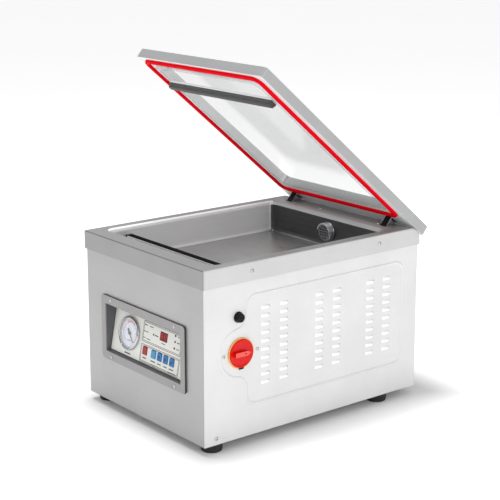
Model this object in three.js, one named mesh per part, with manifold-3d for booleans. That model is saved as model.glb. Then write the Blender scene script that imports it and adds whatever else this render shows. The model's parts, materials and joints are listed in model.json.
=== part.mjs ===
// Tabletop chamber vacuum packing machine: a sheet-steel cabinet with a pressed chamber, a sprung
// see-through lid, a lifting seal bar, a recessed control panel and the pump set inside.
// Millimetres, +Z up, front towards -Y. The lid is modelled open, which is its rest position.
import * as THREE from "three";
import { mergeVertices } from "three/addons/utils/BufferGeometryUtils.js";
import Module from "manifold-3d";

const wasm = await Module();
wasm.setup();

// ---- driving dimensions ----
const GAP = 0.3; // air left between touching pieces
const SHEET = 1.5; // cabinet sheet thickness
const ROUND = 24; // sides of a full turn on turned pieces

const DECK = { x: 165, y: 227, top: 294.2, skirt: 264, rearRadius: 24 }; // half sizes and heights
const BODY = { x: 161.8, y: 223.8, bottom: 14, top: 290.5 };
const REAR_PANEL_TOP = 272;
const CHAMBER = { x: 142, front: -192, rear: 160, floor: 240, corner: 10 };

const FOOT = { x: 143.5, front: -197, rear: 152, radius: 18, height: 13.7, taper: 1.5, sides: 20 };

const RECESS = { x: 104.5, low: 101, high: 182.5, depth: 30 }; // control opening in the front panel
const BEZEL = { x: 116.5, low: 87.5, high: 196.5, proud: 3 };
const PLATE = { x: 102.5, height: 78.5, thick: 3, setback: 5, lift: 2.3, tilt: 10.5 }; // tilt in degrees

const GAUGE = { x: -55, up: 37.9, radius: 28, dial: 24.6, hole: 25.2, needle: -36, sides: 32 };
const BUTTON = { up: 20.4, width: 11.6, height: 13, proud: 1.6, clearance: 0.4, corner: 1.5, foot: 0.5 };
const BUTTON_X = { stop_button: -8, set_button: 16, up_button: 32.6, down_button: 49.1, enter_button: 65.8 };
const DISPLAY = { x: 36.3, up: 54, width: 19.6, height: 14.6, proud: 0.5 };
// Depths on the tilted plate run along its own y: negative towards the user.
const RING = { face: -5, edge: -3.5, chamfer: 1.5, bore: 0.8, lip: -4 };
const DIAL = { front: -0.2, back: 0.8, lens: -4, lensBack: -3, bore: 1.2, boreBack: 8 };
const CAN = { front: 1.1, back: 22 };
const NEEDLE = { tail: -8, tip: 19, wide: 1.3, narrow: 0.35, front: -1.8, back: -1.2 };
const NEEDLE_HUB = { radius: 2.6, proud: 0.4, spindle: 0.8 };
const BOARD = { x0: -24, x1: 84, low: 6, high: 66, face: 7, thick: 1.6, sink: 0.1 };
const BOARD_KEY = { half: 3, up: 3, front: 4.2 };
const BOARD_LAMP = { half: 9, up: 6, front: 3.5 };

const LOUVRE = { width: 18, height: 5.5, hood: 15.2, proud: 2.3, wall: 0.9 };
const LOUVRE_ROWS = { count: 10, top: 216.2, pitch: 13.45 };
const LOUVRE_Y = [-104.4, -67.1, 6.6, 43.6, 117, 153.9];

const SWITCH = { y: -154.6, z: 152.1, radius: 24, hole: 10, thick: 1.2 };
const KNOB = { radius: 23, rim: 2.4, wall: 1.5, floor: 1, flare: 2, spindle: 4, reach: 12 };
const GRIP = { tail: -14.5, tip: 14.5, shoulder: 8.5, half: 3.8, top: 6.5 };
const SWITCH_BLOCK = { depth: 42, y: 36, z: 22, bore: 4.6, boreDepth: 14 };
const FUSE = { y: -158.7, z: 210.2, radius: 7.2, hole: 6.5, shank: 5.8, inside: 30, collar: 1.5, cap: 8.5 };

const PORT = { x: 9, z: 266, radius: 16, proud: 9.5, nipple: 7, wall: 2, inside: 14 };
const PORT_HOLE = { radius: 1.7, rows: [-1, 0, 1], columns: [-1.5, -0.5, 0.5, 1.5], dx: 5.2, dz: 5.6 };
const SEAL = { y: -157, length: 262, width: 15, bottom: 265.5, top: 282.5, rodX: 92, rodRadius: 6 };
const TAPE = { half: 5, thick: 1.6 }; // heater tape along the top of the seal bar
const LIFT = { wall: 4, low: 206, base: 216, high: 252, play: 0.5, rodLow: 224 }; // lift cylinders

const PIVOT = { y: 204.5, z: 286.6 }; // lid hinge line
const LID = { x: 164.7, front: -227, rear: 234.4, gap: 4.5, thick: 17, open: 40.18, corner: 5 };
const WINDOW = { x: 137, front: -207, rear: 162, corner: 12, seat: 0.5, pane: 5, wall: 4 };
const DOME = { inset: 9, rise: 20 }; // the pane's raised middle: inset from its edge, height above the frame
const GASKET = { x: 148.3, front: -217.6, rear: 175.4, width: 9, drop: 4.2, corner: 9 };
const PRESS = { y: -157, x: 133, width: 15, hang: 12, pad: 9 };
const HINGE = { x: 122, width: 13, strap: 3, legY: -21, legLow: -13, hub: 5, pad: 2.7, padRear: -4 };
const LINK = { heel: 2, rise: 6, high: 1, top: -4.6 }; // web between the leg and the hub of a hinge arm
const HINGE_SLOT = { side: 1.5, half: 4.5 }; // room round the arm where it goes through the deck
const PIN = { radius: 3, half: 16.5, offset: 5.5 };
const CHEEK = { thick: 2, gap: 0.6, front: -9, rear: 11, drop: 12, bridge: 2 }; // hinge bracket
const SPRING = { wire: 0.9, play: 1.8, turns: 4, pitch: 2.6, perTurn: 8, offset: 4.5 };

const PAN = { flange: 18, slotHalf: 3, slotFront: 60, slotRear: 150 };
const PAN_SLOT_X = [-75, -45, -15, 15, 45, 75];
const REAR_SLOT = { x: 70, low: 110, rows: 9, pitch: 12, height: 3.5 };
const GLAND = { x: 112, z: 52, radius: 8, out: 14, inside: 12 };
const EXHAUST = { x: -60, z: 70, radius: 9, out: 12, inside: 12 };

const FLOOR = BODY.bottom + SHEET + GAP; // where the parts inside stand
const MOTOR = { x: 30, z: 88, radius: 52, front: -20, rear: 110, shaft: 5, baseX: 38, baseRear: 90 };
const FAN = { hub: 12, blades: 6, tip: 44, front: 3, rear: 17 };
const PUMP = { x: 52, front: -125, top: 140, neck: 11, neckY: -75, neckTop: 158 };
const RIB = { thick: 4, low: 20, top: 130 };
const RIB_Y = [-110, -90, -55, -35];
const TRANSFORMER = { x0: -140, x1: -70, y0: -110, y1: -30, top: 92, coil: 10, coilIn: 8, coilTop: 80 };
const VALVE = { back: 14, depth: 26, x: 14, low: 16, high: 14, coil: 30, outlet: 6, drop: 26 };
const HOSE = { radius: 8, steps: 40, sides: 10, high: 184 };

const CENTRE = { x: 2.8, y: 9.5 }; // middle of the whole object's box, in the cabinet's own frame

const degrees = THREE.MathUtils.degToRad;

// ---- materials ----
function paint(color, roughness, metalness) {
  return new THREE.MeshStandardMaterial({ color, roughness, metalness });
}
const satinSteel = () => paint("#bfbfbf", 0.35, 0.9);
const paleSteel = () => paint("#e6e6e6", 0.4, 0.6);
const zincSteel = () => paint("#a8abb0", 0.45, 0.8);
const chrome = () => paint("#e0e2e6", 0.1, 1);
const castIron = () => paint("#4d5359", 0.7, 0.4);
const rubber = () => paint("#161616", 0.85, 0);
const blackPlastic = () => paint("#1c1c1e", 0.5, 0);
const slate = () => paint("#5f6166", 0.6, 0.2);
const bluePlastic = () => paint("#2f82be", 0.4, 0);
const redPlastic = () => paint("#d8271c", 0.35, 0);
const clearAcrylic = () => {
  const glass = paint("#eef4f4", 0.05, 0);
  glass.transparent = true;
  glass.opacity = 0.3;
  return glass;
};

// ---- solids ----
// A closed three.js geometry as a solid that can be cut and joined.
function solid(geometry) {
  const bare = geometry.index ? geometry.toNonIndexed() : geometry.clone();
  bare.deleteAttribute("normal");
  bare.deleteAttribute("uv");
  const merged = mergeVertices(bare, 1e-4);
  return new wasm.Manifold(
    new wasm.Mesh({
      numProp: 3,
      vertProperties: merged.attributes.position.array,
      triVerts: new Uint32Array(merged.index.array),
    }),
  );
}

// A solid back as a geometry with flat faces.
function geometryOf(body) {
  const mesh = body.getMesh();
  const geometry = new THREE.BufferGeometry();
  geometry.setAttribute("position", new THREE.BufferAttribute(mesh.vertProperties, 3));
  geometry.setIndex(new THREE.BufferAttribute(mesh.triVerts, 1));
  const flat = geometry.toNonIndexed();
  flat.computeVertexNormals();
  return flat;
}

const union = (bodies) => bodies.reduce((all, body) => all.add(body));

function box(x0, x1, y0, y1, z0, z1) {
  const geometry = new THREE.BoxGeometry(x1 - x0, y1 - y0, z1 - z0);
  geometry.translate((x0 + x1) / 2, (y0 + y1) / 2, (z0 + z1) / 2);
  return solid(geometry);
}

// Rectangle from (u0, v0) to (u1, v1) with rounded corners.
function roundedRect(u0, v0, u1, v1, r) {
  const shape = new THREE.Shape();
  shape.moveTo(u0 + r, v0);
  shape.lineTo(u1 - r, v0);
  shape.absarc(u1 - r, v0 + r, r, -Math.PI / 2, 0);
  shape.lineTo(u1, v1 - r);
  shape.absarc(u1 - r, v1 - r, r, 0, Math.PI / 2);
  shape.lineTo(u0 + r, v1);
  shape.absarc(u0 + r, v1 - r, r, Math.PI / 2, Math.PI);
  shape.lineTo(u0, v0 + r);
  shape.absarc(u0 + r, v0 + r, r, Math.PI, 1.5 * Math.PI);
  return shape;
}

function polygon(points) {
  return new THREE.Shape(points.map(([u, v]) => new THREE.Vector2(u, v)));
}

// Extrudes a shape along an axis: its plane is (y, z) for x, (x, z) for y and (x, y) for z.
const AXES = {
  x: [new THREE.Vector3(0, 1, 0), new THREE.Vector3(0, 0, 1), new THREE.Vector3(1, 0, 0)],
  y: [new THREE.Vector3(1, 0, 0), new THREE.Vector3(0, 0, 1), new THREE.Vector3(0, -1, 0)],
  z: [new THREE.Vector3(1, 0, 0), new THREE.Vector3(0, 1, 0), new THREE.Vector3(0, 0, 1)],
};
function prism(shape, axis, from, to, curveSegments = 4) {
  const geometry = new THREE.ExtrudeGeometry(shape, {
    depth: to - from,
    bevelEnabled: false,
    curveSegments,
  });
  geometry.applyMatrix4(new THREE.Matrix4().makeBasis(...AXES[axis]));
  const start = axis === "y" ? -to : from;
  const shift = AXES[axis][2].clone().multiplyScalar(start);
  geometry.translate(shift.x, shift.y, shift.z);
  return solid(geometry);
}

// Turned solid: profile of [radius, along] points, closed on itself or ending on the axis.
function turned(profile, axis, sides = ROUND) {
  const points = profile.map(([r, along]) => new THREE.Vector2(r, along));
  const lathe = (outline) => {
    const geometry = new THREE.LatheGeometry(outline, sides);
    if (axis === "z") geometry.rotateX(Math.PI / 2);
    if (axis === "x") geometry.rotateZ(-Math.PI / 2);
    return solid(geometry);
  };
  const body = lathe(points);
  return body.volume() > 0 ? body : lathe(points.reverse());
}

// Plain round bar along an axis, centred on the other two coordinates.
function rod(radius, axis, from, to, sides = ROUND) {
  return turned(
    [
      [0, from],
      [radius, from],
      [radius, to],
      [0, to],
    ],
    axis,
    sides,
  );
}

// Round tube along a curve.
function tube(points, radius, steps, sides) {
  const section = new THREE.Shape();
  section.absarc(0, 0, radius, 0, 2 * Math.PI);
  const path = new THREE.CatmullRomCurve3(points.map((p) => new THREE.Vector3(...p)));
  return solid(
    new THREE.ExtrudeGeometry(section, { steps, extrudePath: path, curveSegments: sides / 2 }),
  );
}

// Adds a solid to a group as a named mesh.
function add(group, name, body, material) {
  const mesh = new THREE.Mesh(geometryOf(body), material);
  mesh.name = name;
  group.add(mesh);
}

// ---- cabinet ----
function basePan() {
  const x = BODY.x - SHEET - GAP;
  const y = BODY.y - SHEET - GAP;
  const z = BODY.bottom;
  const rim = z + PAN.flange;
  const hollow = box(-x + SHEET, x - SHEET, -y + SHEET, y - SHEET, z + SHEET, rim + 1);
  let pan = box(-x, x, -y, y, z, rim).subtract(hollow);
  for (const slotX of PAN_SLOT_X) {
    const from = slotX - PAN.slotHalf;
    const to = slotX + PAN.slotHalf;
    pan = pan.subtract(box(from, to, PAN.slotFront, PAN.slotRear, z - 1, z + SHEET + 1));
  }
  return pan;
}

function frontPanel() {
  const x = BODY.x - SHEET - GAP;
  const panel = box(-x, x, -BODY.y, -BODY.y + SHEET, BODY.bottom, BODY.top);
  const opening = box(-RECESS.x, RECESS.x, -BODY.y - 1, -BODY.y + SHEET + 1, RECESS.low, RECESS.high);
  return panel.subtract(opening);
}

// One louvre on the +X face: a ramp that rises towards the rear, where it is open.
function louvre(y, z, face) {
  const front = y - LOUVRE.width / 2;
  const lip = front + LOUVRE.hood;
  const rear = y + LOUVRE.width / 2;
  const half = LOUVRE.height / 2;
  const ramp = polygon([
    [face - SHEET / 2, front],
    [face + LOUVRE.proud, lip],
    [face - SHEET / 2, lip],
  ]);
  const way = polygon([
    [face - SHEET - 1, front + 1.2],
    [face + LOUVRE.proud - 1, lip + 1],
    [face + LOUVRE.proud - 1, rear],
    [face - SHEET - 1, rear],
  ]);
  const hood = prism(ramp, "z", z - half, z + half);
  const slit = prism(way, "z", z - half + LOUVRE.wall, z + half - LOUVRE.wall);
  return { hood, slit };
}

function louvredPanel() {
  const face = BODY.x;
  let panel = box(face - SHEET, face, -BODY.y, BODY.y, BODY.bottom, BODY.top);
  const hoods = [];
  const slits = [];
  for (const y of LOUVRE_Y) {
    for (let row = 0; row < LOUVRE_ROWS.count; row += 1) {
      const { hood, slit } = louvre(y, LOUVRE_ROWS.top - row * LOUVRE_ROWS.pitch, face);
      hoods.push(hood);
      slits.push(slit);
    }
  }
  panel = panel.add(union(hoods)).subtract(union(slits));
  const underDeck = deckOutline(SHEET + GAP, BODY.bottom);
  return panel.intersect(prism(underDeck, "x", face - 10, face + 10, 6));
}

function rightSidePanel() {
  const hole = (radius, y, z) =>
    rod(radius, "x", BODY.x - 10, BODY.x + 10, 16).translate([0, y, z]);
  return louvredPanel()
    .subtract(hole(SWITCH.hole + 1, SWITCH.y, SWITCH.z))
    .subtract(hole(FUSE.hole, FUSE.y, FUSE.z));
}

const leftSidePanel = () => louvredPanel().mirror([1, 0, 0]);

function rearPanel() {
  const x = BODY.x - SHEET - GAP;
  const face = BODY.y;
  let panel = box(-x, x, face - SHEET, face, BODY.bottom, REAR_PANEL_TOP);
  for (let row = 0; row < REAR_SLOT.rows; row += 1) {
    const z = REAR_SLOT.low + row * REAR_SLOT.pitch;
    const slot = box(-REAR_SLOT.x, REAR_SLOT.x, face - SHEET - 1, face + 1, z, z + REAR_SLOT.height);
    panel = panel.subtract(slot);
  }
  for (const hole of [GLAND, EXHAUST]) {
    const cut = rod(hole.radius + GAP, "y", face - 10, face + 10, 16);
    panel = panel.subtract(cut.translate([hole.x, 0, hole.z]));
  }
  return panel;
}

// Outline of the deck in (y, z), with the rolled rear edge.
function deckOutline(inset, low) {
  const shape = new THREE.Shape();
  const r = DECK.rearRadius - inset;
  const y = DECK.y - inset;
  const top = DECK.top - inset;
  shape.moveTo(-y, low);
  shape.lineTo(y, low);
  shape.lineTo(y, top - r);
  shape.absarc(y - r, top - r, r, 0, Math.PI / 2);
  shape.lineTo(-y, top);
  return shape;
}

const chamberOutline = (grow) =>
  roundedRect(
    -CHAMBER.x - grow,
    CHAMBER.front - grow,
    CHAMBER.x + grow,
    CHAMBER.rear + grow,
    CHAMBER.corner + grow,
  );

function topDeck() {
  const x = DECK.x;
  const outer = prism(deckOutline(0, DECK.skirt), "x", -x, x, 6);
  const inner = prism(deckOutline(SHEET, DECK.skirt - 1), "x", -x + SHEET, x - SHEET, 6);
  let deck = outer.subtract(inner);
  deck = deck.subtract(prism(chamberOutline(0), "z", DECK.skirt, DECK.top + 1));
  for (const side of [-1, 1]) {
    const x0 = side * HINGE.x;
    const half = HINGE.width / 2 + HINGE_SLOT.side;
    const y0 = PIVOT.y + HINGE.legY - HINGE_SLOT.half;
    const y1 = PIVOT.y + HINGE.legY + HINGE_SLOT.half;
    const slot = box(x0 - half, x0 + half, y0, y1, DECK.skirt, DECK.top + 1);
    deck = deck.subtract(slot);
  }
  return deck;
}

function chamberTub() {
  const rim = DECK.top - SHEET - GAP;
  const walls = prism(chamberOutline(SHEET), "z", CHAMBER.floor - SHEET, rim);
  const hollow = prism(chamberOutline(0), "z", CHAMBER.floor, rim + 1);
  const flange = prism(chamberOutline(9), "z", rim - SHEET, rim);
  let tub = walls.add(flange).subtract(hollow);
  const portHole = rod(PORT.nipple + GAP, "y", CHAMBER.rear - 5, CHAMBER.rear + 5, 16);
  tub = tub.subtract(portHole.translate([PORT.x, 0, PORT.z]));
  for (const side of [-1, 1]) {
    const rodHole = rod(SEAL.rodRadius + LIFT.wall + GAP, "z", CHAMBER.floor - 5, CHAMBER.floor + 5, 16);
    tub = tub.subtract(rodHole.translate([side * SEAL.rodX, SEAL.y, 0]));
  }
  return tub;
}

function foot() {
  const r = FOOT.radius;
  return turned(
    [
      [0, 0],
      [r - 2 * FOOT.taper, 0],
      [r - FOOT.taper, 2],
      [r, FOOT.height],
      [0, FOOT.height],
    ],
    "z",
    FOOT.sides,
  );
}

function buildCabinet(group) {
  add(group, "base_pan", basePan(), zincSteel());
  add(group, "front_panel", frontPanel(), satinSteel());
  add(group, "right_side_panel", rightSidePanel(), paleSteel());
  add(group, "left_side_panel", leftSidePanel(), paleSteel());
  add(group, "rear_panel", rearPanel(), satinSteel());
  add(group, "top_deck", topDeck(), satinSteel());
  add(group, "chamber_tub", chamberTub(), satinSteel());
  const places = {
    foot_front_left: [-FOOT.x, FOOT.front],
    foot_front_right: [FOOT.x, FOOT.front],
    foot_rear_left: [-FOOT.x, FOOT.rear],
    foot_rear_right: [FOOT.x, FOOT.rear],
  };
  for (const [name, [x, y]] of Object.entries(places)) {
    add(group, name, foot().translate([x, y, 0]), rubber());
  }
}

// ---- control panel ----
function controlBezel() {
  const face = -BODY.y - GAP;
  const frame = prism(
    roundedRect(-BEZEL.x, BEZEL.low, BEZEL.x, BEZEL.high, 3),
    "y",
    face - BEZEL.proud,
    face,
  );
  const opening = box(-RECESS.x, RECESS.x, face - 10, face + 10, RECESS.low, RECESS.high);
  return frame.subtract(opening);
}

// Sheet sleeve that lines the opening and carries the plate.
function controlRecess() {
  const x = RECESS.x - GAP;
  const low = RECESS.low + GAP;
  const high = RECESS.high - GAP;
  const front = -BODY.y - 1;
  const back = -BODY.y + RECESS.depth;
  const sleeve = box(-x, x, front, back, low, high);
  const hollow = box(-x + 1, x - 1, front - 1, back + 1, low + 1, high - 1);
  return sleeve.subtract(hollow);
}

// In the tilted group: y = 0 is the plate's face, z runs up the plate, -y points at the user.
function controlPlate() {
  let plate = box(-PLATE.x, PLATE.x, 0, PLATE.thick, 0, PLATE.height);
  const gaugeHole = rod(GAUGE.hole, "y", -1, PLATE.thick + 1).translate([GAUGE.x, 0, GAUGE.up]);
  plate = plate.subtract(gaugeHole);
  plate = plate.subtract(panelWindow(DISPLAY.x, DISPLAY.up, DISPLAY.width, DISPLAY.height));
  for (const x of Object.values(BUTTON_X)) {
    plate = plate.subtract(panelWindow(x, BUTTON.up, BUTTON.width, BUTTON.height));
  }
  return plate;
}

function panelWindow(x, up, width, height) {
  const u = width / 2 + BUTTON.clearance;
  const v = height / 2 + BUTTON.clearance;
  return box(x - u, x + u, -1, PLATE.thick + 1, up - v, up + v);
}

function keycap(x) {
  const u = BUTTON.width / 2;
  const v = BUTTON.height / 2;
  const outline = roundedRect(x - u, BUTTON.up - v, x + u, BUTTON.up + v, BUTTON.corner);
  return prism(outline, "y", -BUTTON.proud, PLATE.thick - BUTTON.foot);
}

// Circuit board with one low switch behind each button.
function controlBoard() {
  const rear = BOARD.face + BOARD.sink;
  const bodies = [box(BOARD.x0, BOARD.x1, BOARD.face, BOARD.face + BOARD.thick, BOARD.low, BOARD.high)];
  const block = (x, up, size) =>
    box(x - size.half, x + size.half, size.front, rear, up - size.up, up + size.up);
  for (const x of Object.values(BUTTON_X)) bodies.push(block(x, BUTTON.up, BOARD_KEY));
  bodies.push(block(DISPLAY.x, DISPLAY.up, BOARD_LAMP));
  return union(bodies);
}

function gaugeParts() {
  const at = (body) => body.translate([GAUGE.x, 0, GAUGE.up]);
  const r = GAUGE.dial;
  const disc = (from, to) => rod(r - GAP, "y", from, to, GAUGE.sides);
  const ring = turned(
    [
      [r, -GAP],
      [GAUGE.radius, -GAP],
      [GAUGE.radius, RING.edge],
      [GAUGE.radius - RING.chamfer, RING.face],
      [r + RING.bore, RING.face],
      [r, RING.lip],
      [r, -GAP],
    ],
    "y",
    GAUGE.sides,
  );
  const bore = (from, to) => rod(DIAL.bore, "y", from, to, 12);
  const dial = disc(DIAL.front, DIAL.back).subtract(bore(-2, 2));
  const lens = disc(DIAL.lens, DIAL.lensBack);
  const can = disc(CAN.front, CAN.back).subtract(bore(0, DIAL.boreBack));
  return { ring: at(ring), dial: at(dial), lens: at(lens), can: at(can) };
}

function gaugeNeedle() {
  const { tail, tip, wide, narrow } = NEEDLE;
  const outline = polygon([
    [tail, -wide],
    [tip, -narrow],
    [tip, narrow],
    [tail, wide],
  ]);
  const pointer = prism(outline, "y", NEEDLE.front, NEEDLE.back);
  const { radius, proud } = NEEDLE_HUB;
  const hub = rod(radius, "y", NEEDLE.front - proud, NEEDLE.back + proud, 12);
  const spindle = rod(NEEDLE_HUB.spindle, "y", -1, DIAL.boreBack - 2, 12);
  const needle = pointer.add(hub).add(spindle);
  return needle.rotate([0, -GAUGE.needle, 0]).translate([GAUGE.x, 0, GAUGE.up]);
}

function buildControls(group) {
  add(group, "control_bezel", controlBezel(), slate());
  add(group, "control_recess", controlRecess(), slate());
  const tilted = new THREE.Group();
  tilted.position.set(0, -BODY.y + PLATE.setback, RECESS.low + PLATE.lift);
  tilted.rotation.x = degrees(-PLATE.tilt);
  group.add(tilted);
  add(tilted, "control_plate", controlPlate(), paint("#e1e1dc", 0.5, 0));
  const pane = box(
    DISPLAY.x - DISPLAY.width / 2,
    DISPLAY.x + DISPLAY.width / 2,
    -DISPLAY.proud,
    PLATE.thick - GAP,
    DISPLAY.up - DISPLAY.height / 2,
    DISPLAY.up + DISPLAY.height / 2,
  );
  add(tilted, "display_window", pane, paint("#96191e", 0.2, 0));
  for (const [name, x] of Object.entries(BUTTON_X)) {
    add(tilted, name, keycap(x), name === "stop_button" ? redPlastic() : bluePlastic());
  }
  add(tilted, "control_board", controlBoard(), paint("#1d5c34", 0.6, 0));
  const gauge = gaugeParts();
  add(tilted, "gauge_bezel", gauge.ring, chrome());
  add(tilted, "gauge_dial", gauge.dial, paint("#f4f3ee", 0.6, 0));
  add(tilted, "gauge_lens", gauge.lens, clearAcrylic());
  add(tilted, "gauge_case", gauge.can, zincSteel());
  add(tilted, "gauge_needle", gaugeNeedle(), blackPlastic());
}

// ---- right-hand fittings ----
function switchPlate() {
  const x = BODY.x + GAP;
  const bore = rod(SWITCH.hole, "x", x - 1, x + SWITCH.thick + 1, 16);
  const ring = rod(SWITCH.radius, "x", x, x + SWITCH.thick, 32).subtract(bore);
  return ring.translate([0, SWITCH.y, SWITCH.z]);
}

// Round red knob, hollowed like a dish, with a pointed grip across it and a spindle through the plate.
function switchKnob() {
  const x = BODY.x + 2 * GAP + SWITCH.thick;
  const r = KNOB.radius;
  const dish = turned(
    [
      [0, x],
      [r, x],
      [r, x + KNOB.rim],
      [r - KNOB.wall, x + KNOB.rim],
      [r - KNOB.wall - KNOB.flare, x + KNOB.floor],
      [0, x + KNOB.floor],
    ],
    "x",
    32,
  );
  const outline = polygon([
    [GRIP.tail, -GRIP.half],
    [GRIP.shoulder, -GRIP.half],
    [GRIP.tip, 0],
    [GRIP.shoulder, GRIP.half],
    [GRIP.tail, GRIP.half],
  ]);
  const grip = prism(outline, "x", x + KNOB.floor / 2, x + GRIP.top);
  const spindle = rod(KNOB.spindle, "x", BODY.x - KNOB.reach, x + KNOB.floor / 2, 16);
  return dish.add(grip).add(spindle).translate([0, SWITCH.y, SWITCH.z]);
}

function switchBody() {
  const x = BODY.x - SHEET - GAP;
  const { depth, y, z } = SWITCH_BLOCK;
  const block = box(x - depth, x, SWITCH.y - y, SWITCH.y + y, SWITCH.z - z, SWITCH.z + z);
  const bore = rod(SWITCH_BLOCK.bore, "x", x - SWITCH_BLOCK.boreDepth, x + 1, 16);
  return block.subtract(bore.translate([0, SWITCH.y, SWITCH.z]));
}

function fuseCap() {
  const x = BODY.x + GAP;
  const r = FUSE.radius;
  const profile = [
    [0, x - FUSE.inside],
    [FUSE.shank, x - FUSE.inside],
    [FUSE.shank, x],
    [r + FUSE.collar, x],
    [r + FUSE.collar, x + 2],
    [r, x + 2.4],
    [r - 0.6, x + FUSE.cap],
    [0, x + FUSE.cap],
  ];
  return turned(profile, "x", 16).translate([0, FUSE.y, FUSE.z]);
}

function buildSideFittings(group) {
  add(group, "main_switch_plate", switchPlate(), paint("#f0a020", 0.5, 0));
  add(group, "main_switch_knob", switchKnob(), redPlastic());
  add(group, "main_switch_body", switchBody(), blackPlastic());
  add(group, "fuse_holder", fuseCap(), blackPlastic());
}

// ---- chamber fittings ----
function sealBar() {
  const half = SEAL.length / 2;
  const y0 = SEAL.y - SEAL.width / 2;
  const y1 = SEAL.y + SEAL.width / 2;
  return box(-half, half, y0, y1, SEAL.bottom, SEAL.top - TAPE.thick);
}

function sealTape() {
  const half = SEAL.length / 2 - 1;
  const low = SEAL.top - TAPE.thick + GAP;
  return box(-half, half, SEAL.y - TAPE.half, SEAL.y + TAPE.half, low, SEAL.top);
}

function buildSealBar(group) {
  add(group, "seal_bar", sealBar(), paint("#d9dadb", 0.4, 0.6));
  add(group, "seal_tape", sealTape(), paint("#1a1a1a", 0.7, 0));
  const cylinder = turned(
    [
      [0, LIFT.low],
      [SEAL.rodRadius + LIFT.wall, LIFT.low],
      [SEAL.rodRadius + LIFT.wall, LIFT.high],
      [SEAL.rodRadius + LIFT.play, LIFT.high],
      [SEAL.rodRadius + LIFT.play, LIFT.base],
      [0, LIFT.base],
    ],
    "z",
    16,
  );
  const piston = rod(SEAL.rodRadius, "z", LIFT.rodLow, SEAL.bottom - GAP, 16);
  for (const [side, x] of [["left", -SEAL.rodX], ["right", SEAL.rodX]]) {
    add(group, `seal_cylinder_${side}`, cylinder.translate([x, SEAL.y, 0]), zincSteel());
    add(group, `seal_piston_${side}`, piston.translate([x, SEAL.y, 0]), chrome());
  }
}

// Perforated suction cap on the rear wall, with its nipple through the wall.
function vacuumPort() {
  const rear = CHAMBER.rear - GAP;
  const face = rear - PORT.proud;
  const end = rear + PORT.inside;
  const { radius, nipple, wall } = PORT;
  const cap = turned(
    [
      [nipple - wall, end],
      [nipple - wall, rear - wall],
      [radius - wall, rear - wall],
      [radius - wall, face + wall],
      [0, face + wall],
      [0, face],
      [radius - wall, face],
      [radius, face + wall],
      [radius, rear],
      [nipple, rear],
      [nipple, end],
      [nipple - wall, end],
    ],
    "y",
  );
  let port = cap;
  for (const row of PORT_HOLE.rows) {
    for (const column of PORT_HOLE.columns) {
      const hole = rod(PORT_HOLE.radius, "y", face - 1, face + wall + 1, 6);
      port = port.subtract(hole.translate([column * PORT_HOLE.dx, 0, row * PORT_HOLE.dz]));
    }
  }
  return port.translate([PORT.x, 0, PORT.z]);
}

// ---- lid: drawn closed, measured from the hinge line, then swung open ----
const LID_BOTTOM = DECK.top + LID.gap - PIVOT.z;
const fromPivot = (y) => y - PIVOT.y;

const windowOutline = (inset) =>
  roundedRect(
    -WINDOW.x + inset,
    fromPivot(WINDOW.front) + inset,
    WINDOW.x - inset,
    fromPivot(WINDOW.rear) - inset,
    WINDOW.corner,
  );

function lidFrame() {
  const outline = roundedRect(-LID.x, fromPivot(LID.front), LID.x, fromPivot(LID.rear), LID.corner);
  const slab = prism(outline, "z", LID_BOTTOM, LID_BOTTOM + LID.thick);
  return slab.subtract(prism(windowOutline(0), "z", LID_BOTTOM - 1, LID_BOTTOM + LID.thick + 1));
}

// Clear pane inside the frame with a raised dome, hollow underneath.
const PANE_BOTTOM = LID_BOTTOM + WINDOW.seat;
function lidWindow() {
  const top = LID_BOTTOM + LID.thick + DOME.rise;
  const pane = prism(windowOutline(GAP), "z", PANE_BOTTOM, PANE_BOTTOM + WINDOW.pane);
  const dome = prism(windowOutline(DOME.inset), "z", PANE_BOTTOM, top);
  const hollow = windowOutline(DOME.inset + WINDOW.wall);
  return pane.add(dome).subtract(prism(hollow, "z", PANE_BOTTOM - 1, top - WINDOW.wall));
}

function lidGasket() {
  const outline = (inset) =>
    roundedRect(
      -GASKET.x + inset,
      fromPivot(GASKET.front) + inset,
      GASKET.x - inset,
      fromPivot(GASKET.rear) - inset,
      GASKET.corner - inset,
    );
  const half = GASKET.width / 2;
  const low = LID_BOTTOM - GASKET.drop;
  const high = LID_BOTTOM - GAP;
  return prism(outline(-half), "z", low, high).subtract(prism(outline(half), "z", low - 1, high + 1));
}

function hingeArm(x) {
  const half = HINGE.strap / 2;
  const y0 = HINGE.legY - half;
  const y1 = HINGE.legY + half;
  const high = LID_BOTTOM - GAP;
  const pad = high - HINGE.pad;
  const low = HINGE.legLow;
  const leg = polygon([
    [y0, low],
    [y1 + LINK.heel, low],
    [y1, low + LINK.rise],
    [y1, pad],
    [HINGE.padRear, pad],
    [HINGE.padRear, high],
    [y0, high],
  ]);
  const link = polygon([
    [y0, low],
    [0, LINK.top],
    [0, LINK.high],
    [y1 - 0.5, low + LINK.rise - 1],
  ]);
  const from = x - HINGE.width / 2;
  const to = x + HINGE.width / 2;
  const hub = rod(HINGE.hub, "x", from, to, 20);
  const bore = rod(PIN.radius + 0.1, "x", from - 1, to + 1, 20);
  return prism(leg, "x", from, to).add(prism(link, "x", from, to)).add(hub).subtract(bore);
}

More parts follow.
